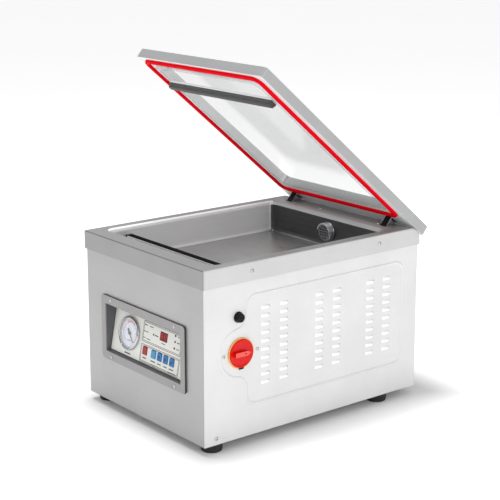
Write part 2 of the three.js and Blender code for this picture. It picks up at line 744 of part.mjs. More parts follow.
function buildLid(group) {
  const lid = new THREE.Group();
  lid.position.set(0, PIVOT.y, PIVOT.z);
  lid.rotation.x = degrees(-LID.open);
  group.add(lid);
  add(lid, "lid_frame", lidFrame(), paint("#b9bbbe", 0.45, 0.3));
  add(lid, "lid_window", lidWindow(), clearAcrylic());
  add(lid, "lid_gasket", lidGasket(), paint("#dc1018", 0.6, 0));
  const y0 = fromPivot(PRESS.y - PRESS.width / 2);
  const y1 = fromPivot(PRESS.y + PRESS.width / 2);
  const low = LID_BOTTOM - PRESS.hang;
  const split = low + PRESS.pad;
  const x = PRESS.x;
  const holder = box(-x, x, y0, y1, split, PANE_BOTTOM - GAP);
  add(lid, "pressure_bar_holder", holder, paint("#c9cbcd", 0.4, 0.7));
  const pad = box(-x, x, y0 + 1.5, y1 - 1.5, low, split - GAP);
  add(lid, "pressure_bar_pad", pad, paint("#444446", 0.8, 0));
  add(lid, "hinge_arm_left", hingeArm(-HINGE.x), blackPlastic());
  add(lid, "hinge_arm_right", hingeArm(HINGE.x), blackPlastic());
}

// Bracket under the deck: two cheeks joined behind the hub.
function hingeBracket(x) {
  const inner = HINGE.width / 2 + CHEEK.gap;
  const outer = inner + CHEEK.thick;
  const top = DECK.top - SHEET - GAP;
  const low = PIVOT.z - CHEEK.drop;
  const front = PIVOT.y + CHEEK.front;
  const rear = PIVOT.y + CHEEK.rear;
  const cheek = (x0, x1) => box(x0, x1, front, rear, low, top);
  const bridge = box(x - outer, x + outer, rear - CHEEK.bridge, rear, low, PIVOT.z + 1);
  const bore = rod(PIN.radius + 0.1, "x", x - outer - 1, x + outer + 1, 20);
  const underDeck = prism(deckOutline(SHEET + GAP, BODY.bottom), "x", x - outer, x + outer, 6);
  return union([cheek(x - outer, x - inner), cheek(x + inner, x + outer), bridge])
    .intersect(underDeck)
    .subtract(bore.translate([0, PIVOT.y, PIVOT.z]));
}

// Torsion spring on the pin, beside the bracket towards the middle.
function lidSpring(x, side) {
  const radius = PIN.radius + SPRING.play;
  const steps = SPRING.turns * SPRING.perTurn;
  const start = x - side * (HINGE.width / 2 + SPRING.offset);
  const points = [];
  for (let i = 0; i <= steps; i += 1) {
    const angle = (2 * Math.PI * i) / SPRING.perTurn;
    const along = start - (side * SPRING.pitch * i) / SPRING.perTurn;
    points.push([along, PIVOT.y + radius * Math.cos(angle), PIVOT.z + radius * Math.sin(angle)]);
  }
  return tube(points, SPRING.wire, steps, 6);
}

function buildHinges(group) {
  for (const [name, side] of [["left", -1], ["right", 1]]) {
    const x = side * HINGE.x;
    const middle = x - side * PIN.offset;
    const pin = rod(PIN.radius, "x", middle - PIN.half, middle + PIN.half, 20);
    add(group, `hinge_bracket_${name}`, hingeBracket(x), zincSteel());
    add(group, `hinge_pin_${name}`, pin.translate([0, PIVOT.y, PIVOT.z]), chrome());
    add(group, `lid_spring_${name}`, lidSpring(x, side), zincSteel());
  }
}

// ---- pump set and electrics ----
function pumpBody() {
  const { x } = MOTOR;
  const head = box(x - PUMP.x, x + PUMP.x, PUMP.front, MOTOR.front - GAP, FLOOR, PUMP.top);
  const neck = rod(PUMP.neck, "z", PUMP.top - 1, PUMP.neckTop, 16).translate([x, PUMP.neckY, 0]);
  const half = PUMP.x + RIB.thick;
  const ribs = RIB_Y.map((y) =>
    box(x - half, x + half, y - RIB.thick / 2, y + RIB.thick / 2, FLOOR + RIB.low, RIB.top),
  );
  return union([head, neck, ...ribs]);
}

function pumpMotor() {
  const { x, z, front, rear, shaft } = MOTOR;
  const shell = rod(MOTOR.radius, "y", front, rear, 32).translate([x, 0, z]);
  const bore = rod(shaft + 1, "y", rear - 12, rear + 1, 16).translate([x, 0, z]);
  const base = box(x - MOTOR.baseX, x + MOTOR.baseX, 0, MOTOR.baseRear, FLOOR, z - 30);
  return shell.add(base).subtract(bore);
}

function motorFan() {
  const front = MOTOR.rear + FAN.front;
  const rear = MOTOR.rear + FAN.rear;
  const hub = rod(FAN.hub, "y", front, rear, 20);
  const shaft = rod(MOTOR.shaft, "y", MOTOR.rear - 10, front + 1, 16);
  const blades = [];
  for (let i = 0; i < FAN.blades; i += 1) {
    const blade = box(-2, 2, front + 1, rear - 1, FAN.hub - 4, FAN.tip);
    blades.push(blade.rotate([0, (i * 360) / FAN.blades, 0]));
  }
  return union([hub, shaft, ...blades]).translate([MOTOR.x, 0, MOTOR.z]);
}

function transformer() {
  const { x0, x1, y0, y1, coil, coilIn } = TRANSFORMER;
  const core = box(x0, x1, y0, y1, FLOOR, TRANSFORMER.top);
  const low = FLOOR + 12;
  const winding = box(x0 + coilIn, x1 - coilIn, y0 - coil, y1 + coil, low, TRANSFORMER.coilTop);
  return core.add(winding);
}

function solenoidValve() {
  const { x, z } = PORT;
  const y0 = CHAMBER.rear + SHEET + VALVE.back;
  const y1 = y0 + VALVE.depth;
  const block = box(x - VALVE.x, x + VALVE.x, y0, y1, z - VALVE.low, z + VALVE.high);
  const coil = box(x + VALVE.x, x + VALVE.x + VALVE.coil, y0 + 2, y1 - 2, z - 12, z + 12);
  const outlet = rod(VALVE.outlet, "z", z - VALVE.drop, z - VALVE.low + 1, 16);
  return union([block, coil, outlet.translate([x, (y0 + y1) / 2, 0])]);
}

// From the valve's outlet down behind the chamber, over the motor and into the pump's neck.
function vacuumHose() {
  const y = CHAMBER.rear + SHEET + VALVE.back + VALVE.depth / 2;
  const outlet = PORT.z - VALVE.drop;
  const points = [
    [PORT.x, y, outlet - GAP],
    [PORT.x, y, outlet - 18],
    [PORT.x + 4, y - 14, HOSE.high + 6],
    [MOTOR.x - 4, MOTOR.rear, HOSE.high - 8],
    [MOTOR.x, 20, HOSE.high],
    [MOTOR.x, PUMP.neckY + 13, HOSE.high],
    [MOTOR.x, PUMP.neckY, HOSE.high - 12],
    [MOTOR.x, PUMP.neckY, PUMP.neckTop + GAP],
  ];
  return tube(points, HOSE.radius, HOSE.steps, HOSE.sides);
}

// Stub through the rear panel with a collar on the outside.
function rearStub(place) {
  const face = BODY.y + GAP;
  const r = place.radius;
  const profile = [
    [0, face - place.inside],
    [r, face - place.inside],
    [r, face],
    [r + 4, face],
    [r + 4, face + 3],
    [r, face + 3],
    [r - 2, face + place.out],
    [0, face + place.out],
  ];
  return turned(profile, "y", 16).translate([place.x, 0, place.z]);
}

function buildInside(group) {
  add(group, "vacuum_pump", pumpBody(), castIron());
  add(group, "pump_motor", pumpMotor(), castIron());
  add(group, "motor_fan", motorFan(), blackPlastic());
  add(group, "transformer", transformer(), zincSteel());
  add(group, "solenoid_valve", solenoidValve(), paint("#b08d4a", 0.4, 0.8));
  add(group, "vacuum_hose", vacuumHose(), rubber());
  add(group, "cord_gland", rearStub(GLAND), blackPlastic());
  add(group, "exhaust_port", rearStub(EXHAUST), blackPlastic());
}

// ---- assembly, moved so that the origin is under the middle of the whole object ----
const machine = new THREE.Group();
machine.position.set(-CENTRE.x, -CENTRE.y, 0);
buildCabinet(machine);
buildControls(machine);
buildSideFittings(machine);
buildSealBar(machine);
add(machine, "vacuum_port", vacuumPort(), zincSteel());
buildLid(machine);
buildHinges(machine);
buildInside(machine);

const root = new THREE.Group();
root.add(machine);
export default root;
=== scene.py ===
"""Looks of the vacuum packing machine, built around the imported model.

Shapes are drawn in millimetres in one of three frames: the cabinet's, with z = 0 on the table and
x = y = 0 under the middle of the deck; the control plate's, with y = 0 on its face and z up its
slope; and the lid's, measured from the hinge line with the lid closed.
"""

import json
import math

import bmesh
import bpy
from mathutils import Matrix, Vector


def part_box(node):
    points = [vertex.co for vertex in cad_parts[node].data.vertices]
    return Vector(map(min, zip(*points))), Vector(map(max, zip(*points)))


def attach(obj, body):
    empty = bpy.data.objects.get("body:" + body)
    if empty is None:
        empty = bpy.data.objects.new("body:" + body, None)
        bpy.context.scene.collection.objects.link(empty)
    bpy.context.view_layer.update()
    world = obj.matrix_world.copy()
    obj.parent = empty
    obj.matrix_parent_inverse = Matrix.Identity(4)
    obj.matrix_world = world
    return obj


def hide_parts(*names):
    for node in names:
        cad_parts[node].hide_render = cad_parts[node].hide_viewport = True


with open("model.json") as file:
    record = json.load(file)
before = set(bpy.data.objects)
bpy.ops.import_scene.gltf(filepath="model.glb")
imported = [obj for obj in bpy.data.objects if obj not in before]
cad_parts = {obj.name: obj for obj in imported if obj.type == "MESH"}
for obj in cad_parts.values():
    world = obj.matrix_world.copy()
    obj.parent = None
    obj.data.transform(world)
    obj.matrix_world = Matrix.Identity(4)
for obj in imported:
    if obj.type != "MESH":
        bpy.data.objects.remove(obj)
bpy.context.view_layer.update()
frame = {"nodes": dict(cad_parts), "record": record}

MM = 0.001
deck_low, deck_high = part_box("top_deck")
CENTRE = (deck_low + deck_high) / 2


def new_object(name, data):
    made = bpy.data.objects.new(name, data)
    bpy.context.scene.collection.objects.link(made)
    return made


# ---- camera ----
CAMERA_PLACE = (1.73608, -1.40430, 0.83598)
CAMERA_YAW = 51.4
CAMERA_PITCH = 12.49
CAMERA_LENS = 99.21
CAMERA_SENSOR = 36
CAMERA_SHIFT = -0.1


def add_camera():
    data = bpy.data.cameras.new("camera")
    data.lens = CAMERA_LENS
    data.sensor_width = CAMERA_SENSOR
    data.shift_y = CAMERA_SHIFT
    camera = new_object("camera", data)
    camera.location = CAMERA_PLACE
    camera.rotation_euler = (math.radians(90 - CAMERA_PITCH), 0, math.radians(CAMERA_YAW))
    bpy.context.scene.camera = camera


add_camera()

# ---- dimensions, in millimetres ----
DECK = {"x": 165, "y": 227, "top": 294.2, "skirt": 264, "roll": 24}
BODY = {"x": 161.8, "y": 223.8, "bottom": 14, "top": 272}
CHAMBER = {"x": 142, "front": -192, "rear": 160, "floor": 240, "corner": 10}
SKIN_SHEET = 1.4
PANEL_SHEET = 1.2
LID_SHEET = 3
RECESS = {"x": 104.5, "low": 101, "high": 182.5, "depth": 30}
BEZEL = {"x": 116.5, "low": 87.5, "high": 196.5, "proud": 3, "front": -227.1}
PLATE = {"x": 102.5, "height": 78.5, "tilt": 10.5, "y": -218.8, "z": 103.3}
GAUGE = {"x": -55, "up": 37.9, "radius": 28, "dial": 24.6, "hole": 25.2}
KEY = {"up": 20.4, "width": 11.6, "height": 13, "proud": 1.6}
KEYS = {"stop": -8, "set": 16, "up": 32.6, "down": 49.1, "enter": 65.8}
DISPLAY = {"x": 36.3, "up": 54, "width": 19.6, "height": 14.6}
LOUVRE_Y = (-104.4, -67.1, 6.6, 43.6, 117, 153.9)
LOUVRE = {
    "width": 18, "height": 5.5, "hood": 13.8, "slot": 2.2,
    "proud": 2.3, "top": 216.2, "pitch": 13.45, "rows": 10,
}
SWITCH = {"y": -154.6, "z": 152.1, "radius": 24, "knob": 23}
FUSE = {"y": -158.7, "z": 210.2, "radius": 7.2}
PORT = {"x": 9, "z": 266, "radius": 16, "proud": 9.5}
SEAL = {"y": -157, "half": 131, "width": 15, "bottom": 265.5, "top": 282.5}
PIVOT = {"y": 204.5, "z": 286.6}
LID = {"x": 164.7, "front": -227, "rear": 234.4, "low": 12.1, "thick": 17, "open": 40.18}
WINDOW = {"x": 137, "front": -207, "rear": 162}
GASKET = {"x": 148.3, "front": -217.6, "rear": 175.4, "corner": 13}
PRESS = {"y": -157, "x": 133, "width": 15}
HINGE_X = 122
FOOT = {"x": 143.5, "front": -197, "rear": 152}

CABINET = Matrix.Translation((CENTRE.x, CENTRE.y, 0)) @ Matrix.Scale(MM, 4)
PANEL = (
    CABINET
    @ Matrix.Translation((0, PLATE["y"], PLATE["z"]))
    @ Matrix.Rotation(math.radians(-PLATE["tilt"]), 4, "X")
)
LID_PLACE = (
    CABINET
    @ Matrix.Translation((0, PIVOT["y"], PIVOT["z"]))
    @ Matrix.Rotation(math.radians(-LID["open"]), 4, "X")
)


# ---- shapes: a list of points and a list of faces ----
def on(axis, u, v, w):
    """The point with w along the axis and (u, v) across it."""
    return {"x": (w, u, v), "y": (u, w, v), "z": (u, v, w)}[axis]


def rect(u0, v0, u1, v1, r, steps=6):
    """Rectangle with rounded corners, as points in order."""
    corners = ((u1 - r, v0 + r, -90), (u1 - r, v1 - r, 0), (u0 + r, v1 - r, 90), (u0 + r, v0 + r, 180))
    points = []
    for u, v, start in corners:
        for k in range(steps + 1):
            angle = math.radians(start + 90 * k / steps)
            points.append((u + r * math.cos(angle), v + r * math.sin(angle)))
    return points


def loft(rings, caps=True, closed=False):
    """Faces from each ring of points to the next; closed joins the last ring to the first."""
    n, count = len(rings[0]), len(rings)
    faces = []
    for k in range(count if closed else count - 1):
        a, b = k * n, (k + 1) % count * n
        faces += [(a + i, a + (i + 1) % n, b + (i + 1) % n, b + i) for i in range(n)]
    if caps and not closed:
        faces += [tuple(range(n - 1, -1, -1)), tuple(range((count - 1) * n, count * n))]
    return [p for ring in rings for p in ring], faces


def prism(outline, axis, start, end):
    """Outline of (u, v) points drawn out along an axis."""
    return loft([[on(axis, u, v, w) for u, v in outline] for w in (start, end)])


def box(x0, x1, y0, y1, z0, z1):
    return prism([(x0, y0), (x1, y0), (x1, y1), (x0, y1)], "z", z0, z1)


def ring_prism(outer, inner, axis, start, end):
    """Prism with a hole: both outlines have the same number of points."""
    levels = ((outer, start), (outer, end), (inner, end), (inner, start))
    rings = [[on(axis, u, v, w) for u, v in line] for line, w in levels]
    return loft(rings, closed=True)


def lathe(profile, axis, centre=(0, 0), segments=48, closed=False):
    """Profile of (radius, along) points turned about an axis through centre."""
    rings = []
    for r, w in profile:
        turn = [2 * math.pi * k / segments for k in range(segments)]
        rings.append([on(axis, centre[0] + r * math.cos(t), centre[1] + r * math.sin(t), w) for t in turn])
    return loft(rings, caps=False, closed=closed)


def joined(shapes):
    points, faces = [], []
    for shape_points, shape_faces in shapes:
        base = len(points)
        points += list(shape_points)
        faces += [tuple(base + i for i in face) for face in shape_faces]
    return points, faces


def moved(shape, matrix):
    return [tuple(matrix @ Vector(p)) for p in shape[0]], shape[1]


# ---- materials ----
def mix_colour(tree, kind, factor, a, b):
    node = tree.nodes.new("ShaderNodeMix")
    node.data_type = "RGBA"
    node.blend_type = kind
    for socket, value in ((node.inputs["Factor"], factor), (node.inputs["A"], a), (node.inputs["B"], b)):
        if isinstance(value, bpy.types.NodeSocket):
            tree.links.new(value, socket)
        else:
            socket.default_value = value
    return node.outputs["Result"]


def noise(tree, coords, scale, detail, low, high, to_low=0.0, to_high=1.0):
    """Noise whose values from low to high are spread over to_low to to_high."""
    mapping = tree.nodes.new("ShaderNodeMapping")
    mapping.inputs["Scale"].default_value = scale
    tree.links.new(coords, mapping.inputs["Vector"])
    texture = tree.nodes.new("ShaderNodeTexNoise")
    texture.inputs["Scale"].default_value = 1
    texture.inputs["Detail"].default_value = detail
    tree.links.new(mapping.outputs["Vector"], texture.inputs["Vector"])
    spread = tree.nodes.new("ShaderNodeMapRange")
    for socket, value in (("From Min", low), ("From Max", high), ("To Min", to_low), ("To Max", to_high)):
        spread.inputs[socket].default_value = value
    tree.links.new(texture.outputs["Fac"], spread.inputs["Value"])
    return spread.outputs["Result"]


FINE_NOISE = {"detail": 4, "low": 0.3, "high": 0.7}
SOFT_NOISE = {"detail": 3, "low": 0.35, "high": 0.65}


def material(name, colour, rough, metal=0.0, grain=900, tint=0.06, spread=0.06, bump=0.12, depth=0.0001,
             cloud=14, cloud_tint=0.05, **fixed):
    """Finish with a fine grain in colour, roughness and bump, and soft clouds of handling marks.

    One number as the colour is a grey.
    """
    if isinstance(colour, float):
        colour = (colour, colour, colour)
    made = bpy.data.materials.new(name)
    made.use_nodes = True
    tree = made.node_tree
    bsdf = tree.nodes["Principled BSDF"]
    coords = tree.nodes.new("ShaderNodeTexCoord").outputs["Object"]
    scale = grain if isinstance(grain, tuple) else (grain, grain, grain)
    fine = noise(tree, coords, scale, **FINE_NOISE)
    soft = noise(tree, coords, (cloud, cloud, cloud), **SOFT_NOISE)
    dark, light = (tuple(min(1, c * k) for c in colour) + (1,) for k in (1 - tint, 1 + tint))
    grained = mix_colour(tree, "MIX", fine, dark, light)
    low = (1 - cloud_tint,) * 3 + (1,)
    clouds = mix_colour(tree, "MIX", soft, low, (1, 1, 1, 1))
    tree.links.new(mix_colour(tree, "MULTIPLY", 1.0, grained, clouds), bsdf.inputs["Base Color"])
    smoothest, roughest = max(0.02, rough - spread), min(1, rough + spread)
    rougher = noise(tree, coords, scale, **FINE_NOISE, to_low=smoothest, to_high=roughest)
    tree.links.new(rougher, bsdf.inputs["Roughness"])
    bsdf.inputs["Metallic"].default_value = metal
    lift = tree.nodes.new("ShaderNodeBump")
    lift.inputs["Strength"].default_value = bump
    lift.inputs["Distance"].default_value = depth
    tree.links.new(fine, lift.inputs["Height"])
    tree.links.new(lift.outputs["Normal"], bsdf.inputs["Normal"])
    for socket, value in fixed.items():
        bsdf.inputs[socket.replace("_", " ")].default_value = value
    return made


SLANT_BLEND = 0.35


def see_through(made, face_on, edge_on):
    """A clear sheet that lets light straight through, and shows more of itself at a slant."""
    tree = made.node_tree
    slant = tree.nodes.new("ShaderNodeLayerWeight")
    slant.inputs["Blend"].default_value = SLANT_BLEND
    spread = tree.nodes.new("ShaderNodeMapRange")
    spread.inputs["To Min"].default_value = face_on
    spread.inputs["To Max"].default_value = edge_on
    tree.links.new(slant.outputs["Facing"], spread.inputs["Value"])
    tree.links.new(spread.outputs["Result"], tree.nodes["Principled BSDF"].inputs["Alpha"])


def glow_away(made, half_x, half_y, reach, strength):
    """Floor with a faint painted glow that stops beside the machine, painting its shadow darker."""
    tree = made.node_tree
    coords = tree.nodes.new("ShaderNodeTexCoord").outputs["Object"]
    split = tree.nodes.new("ShaderNodeSeparateXYZ")
    tree.links.new(coords, split.inputs["Vector"])

    def math_node(operation, first, second=0.0):
        node = tree.nodes.new("ShaderNodeMath")
        node.operation = operation
        for socket, value in ((node.inputs[0], first), (node.inputs[1], second)):
            if isinstance(value, bpy.types.NodeSocket):
                tree.links.new(value, socket)
            else:
                socket.default_value = value
        return node.outputs["Value"]

    past_x = math_node("SUBTRACT", math_node("ABSOLUTE", split.outputs["X"]), half_x)
    past_y = math_node("SUBTRACT", math_node("ABSOLUTE", split.outputs["Y"]), half_y)
    spread = tree.nodes.new("ShaderNodeMapRange")
    spread.inputs["From Max"].default_value = reach
    spread.inputs["To Max"].default_value = strength
    tree.links.new(math_node("MAXIMUM", past_x, past_y), spread.inputs["Value"])
    tree.links.new(spread.outputs["Result"], tree.nodes["Principled BSDF"].inputs["Emission Strength"])


BRUSH_X = (18, 1400, 1400)
BRUSH_Y = (1400, 18, 1400)
STYLES = {
    # pale_steel is the same steel as brushed_steel, painted paler: painted light on the side panels, which
    # stand brighter lit than the front.
    "brushed_steel": dict(colour=0.4, rough=0.42, metal=0.6, grain=BRUSH_X, tint=0.05),
    "pale_steel": dict(colour=0.72, rough=0.5, metal=0.2, grain=BRUSH_Y, tint=0.02),
    "zinc_steel": dict(colour=(0.5, 0.51, 0.53), rough=0.4, metal=0.9, grain=120, tint=0.14, cloud=60),
    "chrome": dict(colour=(0.5, 0.51, 0.52), rough=0.16, metal=1, tint=0.02, spread=0.03, bump=0.03),
    "cast_iron": dict(colour=(0.1, 0.115, 0.13), rough=0.6, metal=0.2, grain=700, tint=0.2, bump=0.5),
    "lid_aluminium": dict(colour=(0.43, 0.433, 0.437), rough=0.48, metal=0.4, grain=BRUSH_X, tint=0.04),
    "bar_aluminium": dict(colour=(0.78, 0.79, 0.8), rough=0.35, metal=0.6, grain=BRUSH_X, tint=0.05),
    "clear_acrylic": dict(colour=(0.5, 0.52, 0.52), rough=0.08, tint=0.02, spread=0.03, bump=0.02),
    "gauge_glass": dict(colour=(0.9, 0.92, 0.92), rough=0.06, tint=0.01, spread=0.03, bump=0.01),
    "red_silicone": dict(colour=(0.75, 0.0, 0.008), rough=0.6, grain=500, tint=0.06,
                         bump=0.1, Specular_IOR_Level=0.03),
    "grey_silicone": dict(colour=(0.055, 0.055, 0.058), rough=0.6, grain=600, tint=0.15, bump=0.2),
    "black_rubber": dict(colour=0.012, rough=0.72, grain=500, tint=0.3, bump=0.4),
    "black_metal": dict(colour=0.004, rough=0.55, grain=900, tint=0.3,
                        bump=0.25, Specular_IOR_Level=0.15),
    "black_plastic": dict(colour=0.003, rough=0.35, grain=1100, tint=0.3,
                          bump=0.2, Specular_IOR_Level=0.2),
    "slate_paint": dict(colour=(0.31, 0.3, 0.3), rough=0.5, metal=0.3, grain=BRUSH_X, tint=0.06),
    "panel_film": dict(colour=(0.76, 0.76, 0.72), rough=0.45, grain=1500, tint=0.03, bump=0.1),
    "red_plastic": dict(colour=(0.68, 0.004, 0.003), rough=0.3, grain=900, tint=0.06,
                        Specular_IOR_Level=0.25),
    "yellow_plastic": dict(colour=(0.86, 0.42, 0.1), rough=0.35, grain=900, tint=0.06),
    "blue_plastic": dict(colour=(0.008, 0.16, 0.42), rough=0.4, grain=1100, tint=0.08),
    "display_red": dict(colour=(0.2, 0.003, 0.004), rough=0.3, grain=700, tint=0.1, Specular_IOR_Level=0.25),
    "board_green": dict(colour=(0.02, 0.12, 0.05), rough=0.5, grain=300, tint=0.25),
    "dial_white": dict(colour=(0.8, 0.82, 0.92), rough=0.5, grain=1200, tint=0.02),
    "heater_tape": dict(colour=0.004, rough=0.7, grain=(900, 1500, 900), tint=0.3,
                        bump=0.5, Specular_IOR_Level=0.03),
    "brass": dict(colour=(0.55, 0.4, 0.17), rough=0.35, metal=1, grain=300, tint=0.08),
}
# Besides the things' own finishes, these hold painted light and shade: lighter and darker copies of one
# steel, aluminium or plastic for faces by which way they face, painted highlights, and painted shade in holes
# and recesses.
EXTRA_STYLES = {
    "chamber_steel": dict(colour=0.5, rough=0.32, metal=0.9, grain=BRUSH_X, tint=0.08),
    "painted_lit_wall_steel": dict(colour=0.72, rough=0.4, metal=0.35, grain=BRUSH_Y, tint=0.05),
    "painted_skirt_light": dict(colour=0.59, rough=0.42, metal=0.3, grain=BRUSH_Y, tint=0.03),
    "painted_hood_highlight": dict(colour=0.97, rough=0.4, grain=BRUSH_Y, tint=0.02),
    "screw_steel": dict(colour=0.6, rough=0.2, metal=1.0, grain=400, tint=0.15),
    "painted_rim_top_shade": dict(colour=0.3, rough=0.45, metal=0.3, grain=BRUSH_X, tint=0.05),
    "painted_rim_front_shade": dict(colour=0.32, rough=0.42, metal=0.6, grain=BRUSH_X, tint=0.05),
    "fold_shade": dict(colour=0.15, rough=0.6, tint=0.1),
    "painted_bend_highlight": dict(colour=0.95, rough=0.4, grain=BRUSH_X, tint=0.02),
    "painted_lid_front_shade": dict(colour=(0.34, 0.343, 0.347), rough=0.5, metal=0.3, grain=BRUSH_X, tint=0.04),
    "port_steel": dict(colour=(0.22, 0.22, 0.225), rough=0.3, metal=0.9, grain=200, tint=0.12),
    "painted_recess_shade": dict(colour=(0.11, 0.115, 0.125), rough=0.5, metal=0.2, tint=0.08),
    "digit_red": dict(colour=(0.5, 0.03, 0.03), rough=0.4, tint=0.1),
    "shaded_steel": dict(colour=(0.085, 0.085, 0.088), rough=0.34, metal=0.9, grain=BRUSH_X, tint=0.2),
    "print_grey": dict(colour=(0.05, 0.05, 0.055), rough=0.6, tint=0.15),
    "print_blue": dict(colour=(0.006, 0.02, 0.11), rough=0.5, tint=0.15),
    "print_red": dict(colour=(0.55, 0.03, 0.03), rough=0.5, tint=0.1),
    "print_pink": dict(colour=(0.8, 0.45, 0.45), rough=0.5, tint=0.1),
    "lamp_dark": dict(colour=(0.1, 0.012, 0.012), rough=0.2, tint=0.15),
    "sky_plastic": dict(colour=(0.03, 0.27, 0.52), rough=0.4, grain=1100, tint=0.08),
    "painted_grip_highlight": dict(colour=(0.9, 0.1, 0.08), rough=0.25, grain=900, tint=0.05, Specular_IOR_Level=0.3),
    "key_red": dict(colour=(0.34, 0.004, 0.008), rough=0.35, grain=900, tint=0.08),
    "painted_lit_lid_inside": dict(colour=(0.84, 0.845, 0.85), rough=0.4, metal=0.1, grain=BRUSH_X, tint=0.02),
    "painted_shade_black": dict(colour=0.035, rough=0.6, tint=0.2),
    "pale_floor": dict(colour=0.9, rough=0.8, grain=60, tint=0.01, cloud=3, cloud_tint=0.01,
                       Emission_Color=(1, 1, 1, 1)),
}
FINISH = {name: material(name, **style) for name, style in {**STYLES, **EXTRA_STYLES}.items()}
see_through(FINISH["clear_acrylic"], face_on=0.05, edge_on=0.45)
see_through(FINISH["gauge_glass"], face_on=0.03, edge_on=0.3)
# the floor's glow is painted light, and the darker band beside the machine where it stops is painted shadow
# on top of the real one
glow_away(FINISH["pale_floor"], half_x=0.17, half_y=0.24, reach=0.1, strength=0.38)


# ---- pieces ----
MERGE_DISTANCE = 1e-4
SHORTEST_EDGE = 1e-5
SMOOTH_ANGLE = 38


def merged(shape):
    """The shape as a bmesh, with points that meet made one."""
    bm = bmesh.new()
    points = [bm.verts.new(p) for p in shape[0]]
    for face in shape[1]:
        bm.faces.new([points[i] for i in face])
    bmesh.ops.remove_doubles(bm, verts=bm.verts, dist=MERGE_DISTANCE)
    return bm


def piece(name, shape, body, slot, *nodes, place=CABINET, bevel=0.0, segments=2, limit=30, outward=None,
          finish=None):
    """One named object in its finish, riding on a body and standing for CAD nodes."""
    bm = merged(shape)
    bmesh.ops.dissolve_degenerate(bm, edges=bm.edges, dist=SHORTEST_EDGE)
    bmesh.ops.recalc_face_normals(bm, faces=bm.faces)
    if outward:
        top = max(bm.faces, key=lambda f: f.calc_center_median().dot(Vector(outward)))
        if top.normal.dot(Vector(outward)) < 0:
            bmesh.ops.reverse_faces(bm, faces=bm.faces)
    if bevel:
        sharp = [e for e in bm.edges if e.is_manifold and e.calc_face_angle(0) > math.radians(limit)]
        bmesh.ops.bevel(bm, geom=sharp, offset=bevel, segments=segments, profile=0.5, affect="EDGES",
                        clamp_overlap=True)
    mesh = bpy.data.meshes.new(name)
    bm.to_mesh(mesh)
    bm.free()
    mesh.transform(place)
    made = new_object(name, mesh)
    mesh.materials.append(FINISH[finish or slot])
    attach(made, body)
    if nodes:
        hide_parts(*nodes)
    smooth(made)
    return made


def smooth(obj):
    obj.data.shade_smooth()
    obj.data.set_sharp_from_angle(angle=math.radians(SMOOTH_ANGLE))
    if "even_normals" not in obj.modifiers:
        even = obj.modifiers.new("even_normals", "WEIGHTED_NORMAL")
        even.keep_sharp = True


def apply_modifier(obj, kind, **settings):
    """Applies one modifier to the object's mesh, and smooths the result."""
    obj.modifiers.clear()
    step = obj.modifiers.new("step", kind)
    for key, value in settings.items():
        setattr(step, key, value)
    depsgraph = bpy.context.evaluated_depsgraph_get()
    result = bpy.data.meshes.new_from_object(obj.evaluated_get(depsgraph))
    obj.modifiers.clear()
    old, obj.data = obj.data, result
    result.name = old.name
    bpy.data.meshes.remove(old)
    smooth(obj)


def cut(obj, shape, place=CABINET):
    """Cuts a shape out of an object."""
    mesh = bpy.data.meshes.new("cutter")
    bm = merged(shape)
    bmesh.ops.recalc_face_normals(bm, faces=bm.faces)
    bm.to_mesh(mesh)
    bm.free()
    mesh.transform(place)
    mesh.materials.append(obj.data.materials[0])
    tool = new_object("cutter", mesh)
    apply_modifier(obj, "BOOLEAN", operation="DIFFERENCE", solver="EXACT", object=tool)
    bpy.data.objects.remove(tool)
    bpy.data.meshes.remove(mesh)


def paint_faces(obj, name, test):
    """Gives another finish to the faces whose centre, in the cabinet's frame, and normal pass the test."""
    obj.data.materials.append(FINISH[name])
    index = len(obj.data.materials) - 1
    back = CABINET.inverted()
    for face in obj.data.polygons:
        if test(back @ face.center, face.normal):
            face.material_index = index


# ---- deck and chamber, one pressed skin ----
def corner_fill(corners, ring, steps, base_corner, base_ring):
    """Faces between a rectangle's corners and a rounded ring inside it, as lists of point numbers."""
    faces = []
    n = steps + 1
    for k in range(4):
        start = base_ring + k * n
        faces += [(base_corner + k, start + i, start + i + 1) for i in range(steps)]
        after = base_ring + (k + 1) % 4 * n
        faces.append((base_corner + k, start + steps, after, base_corner + (k + 1) % 4))
    return faces


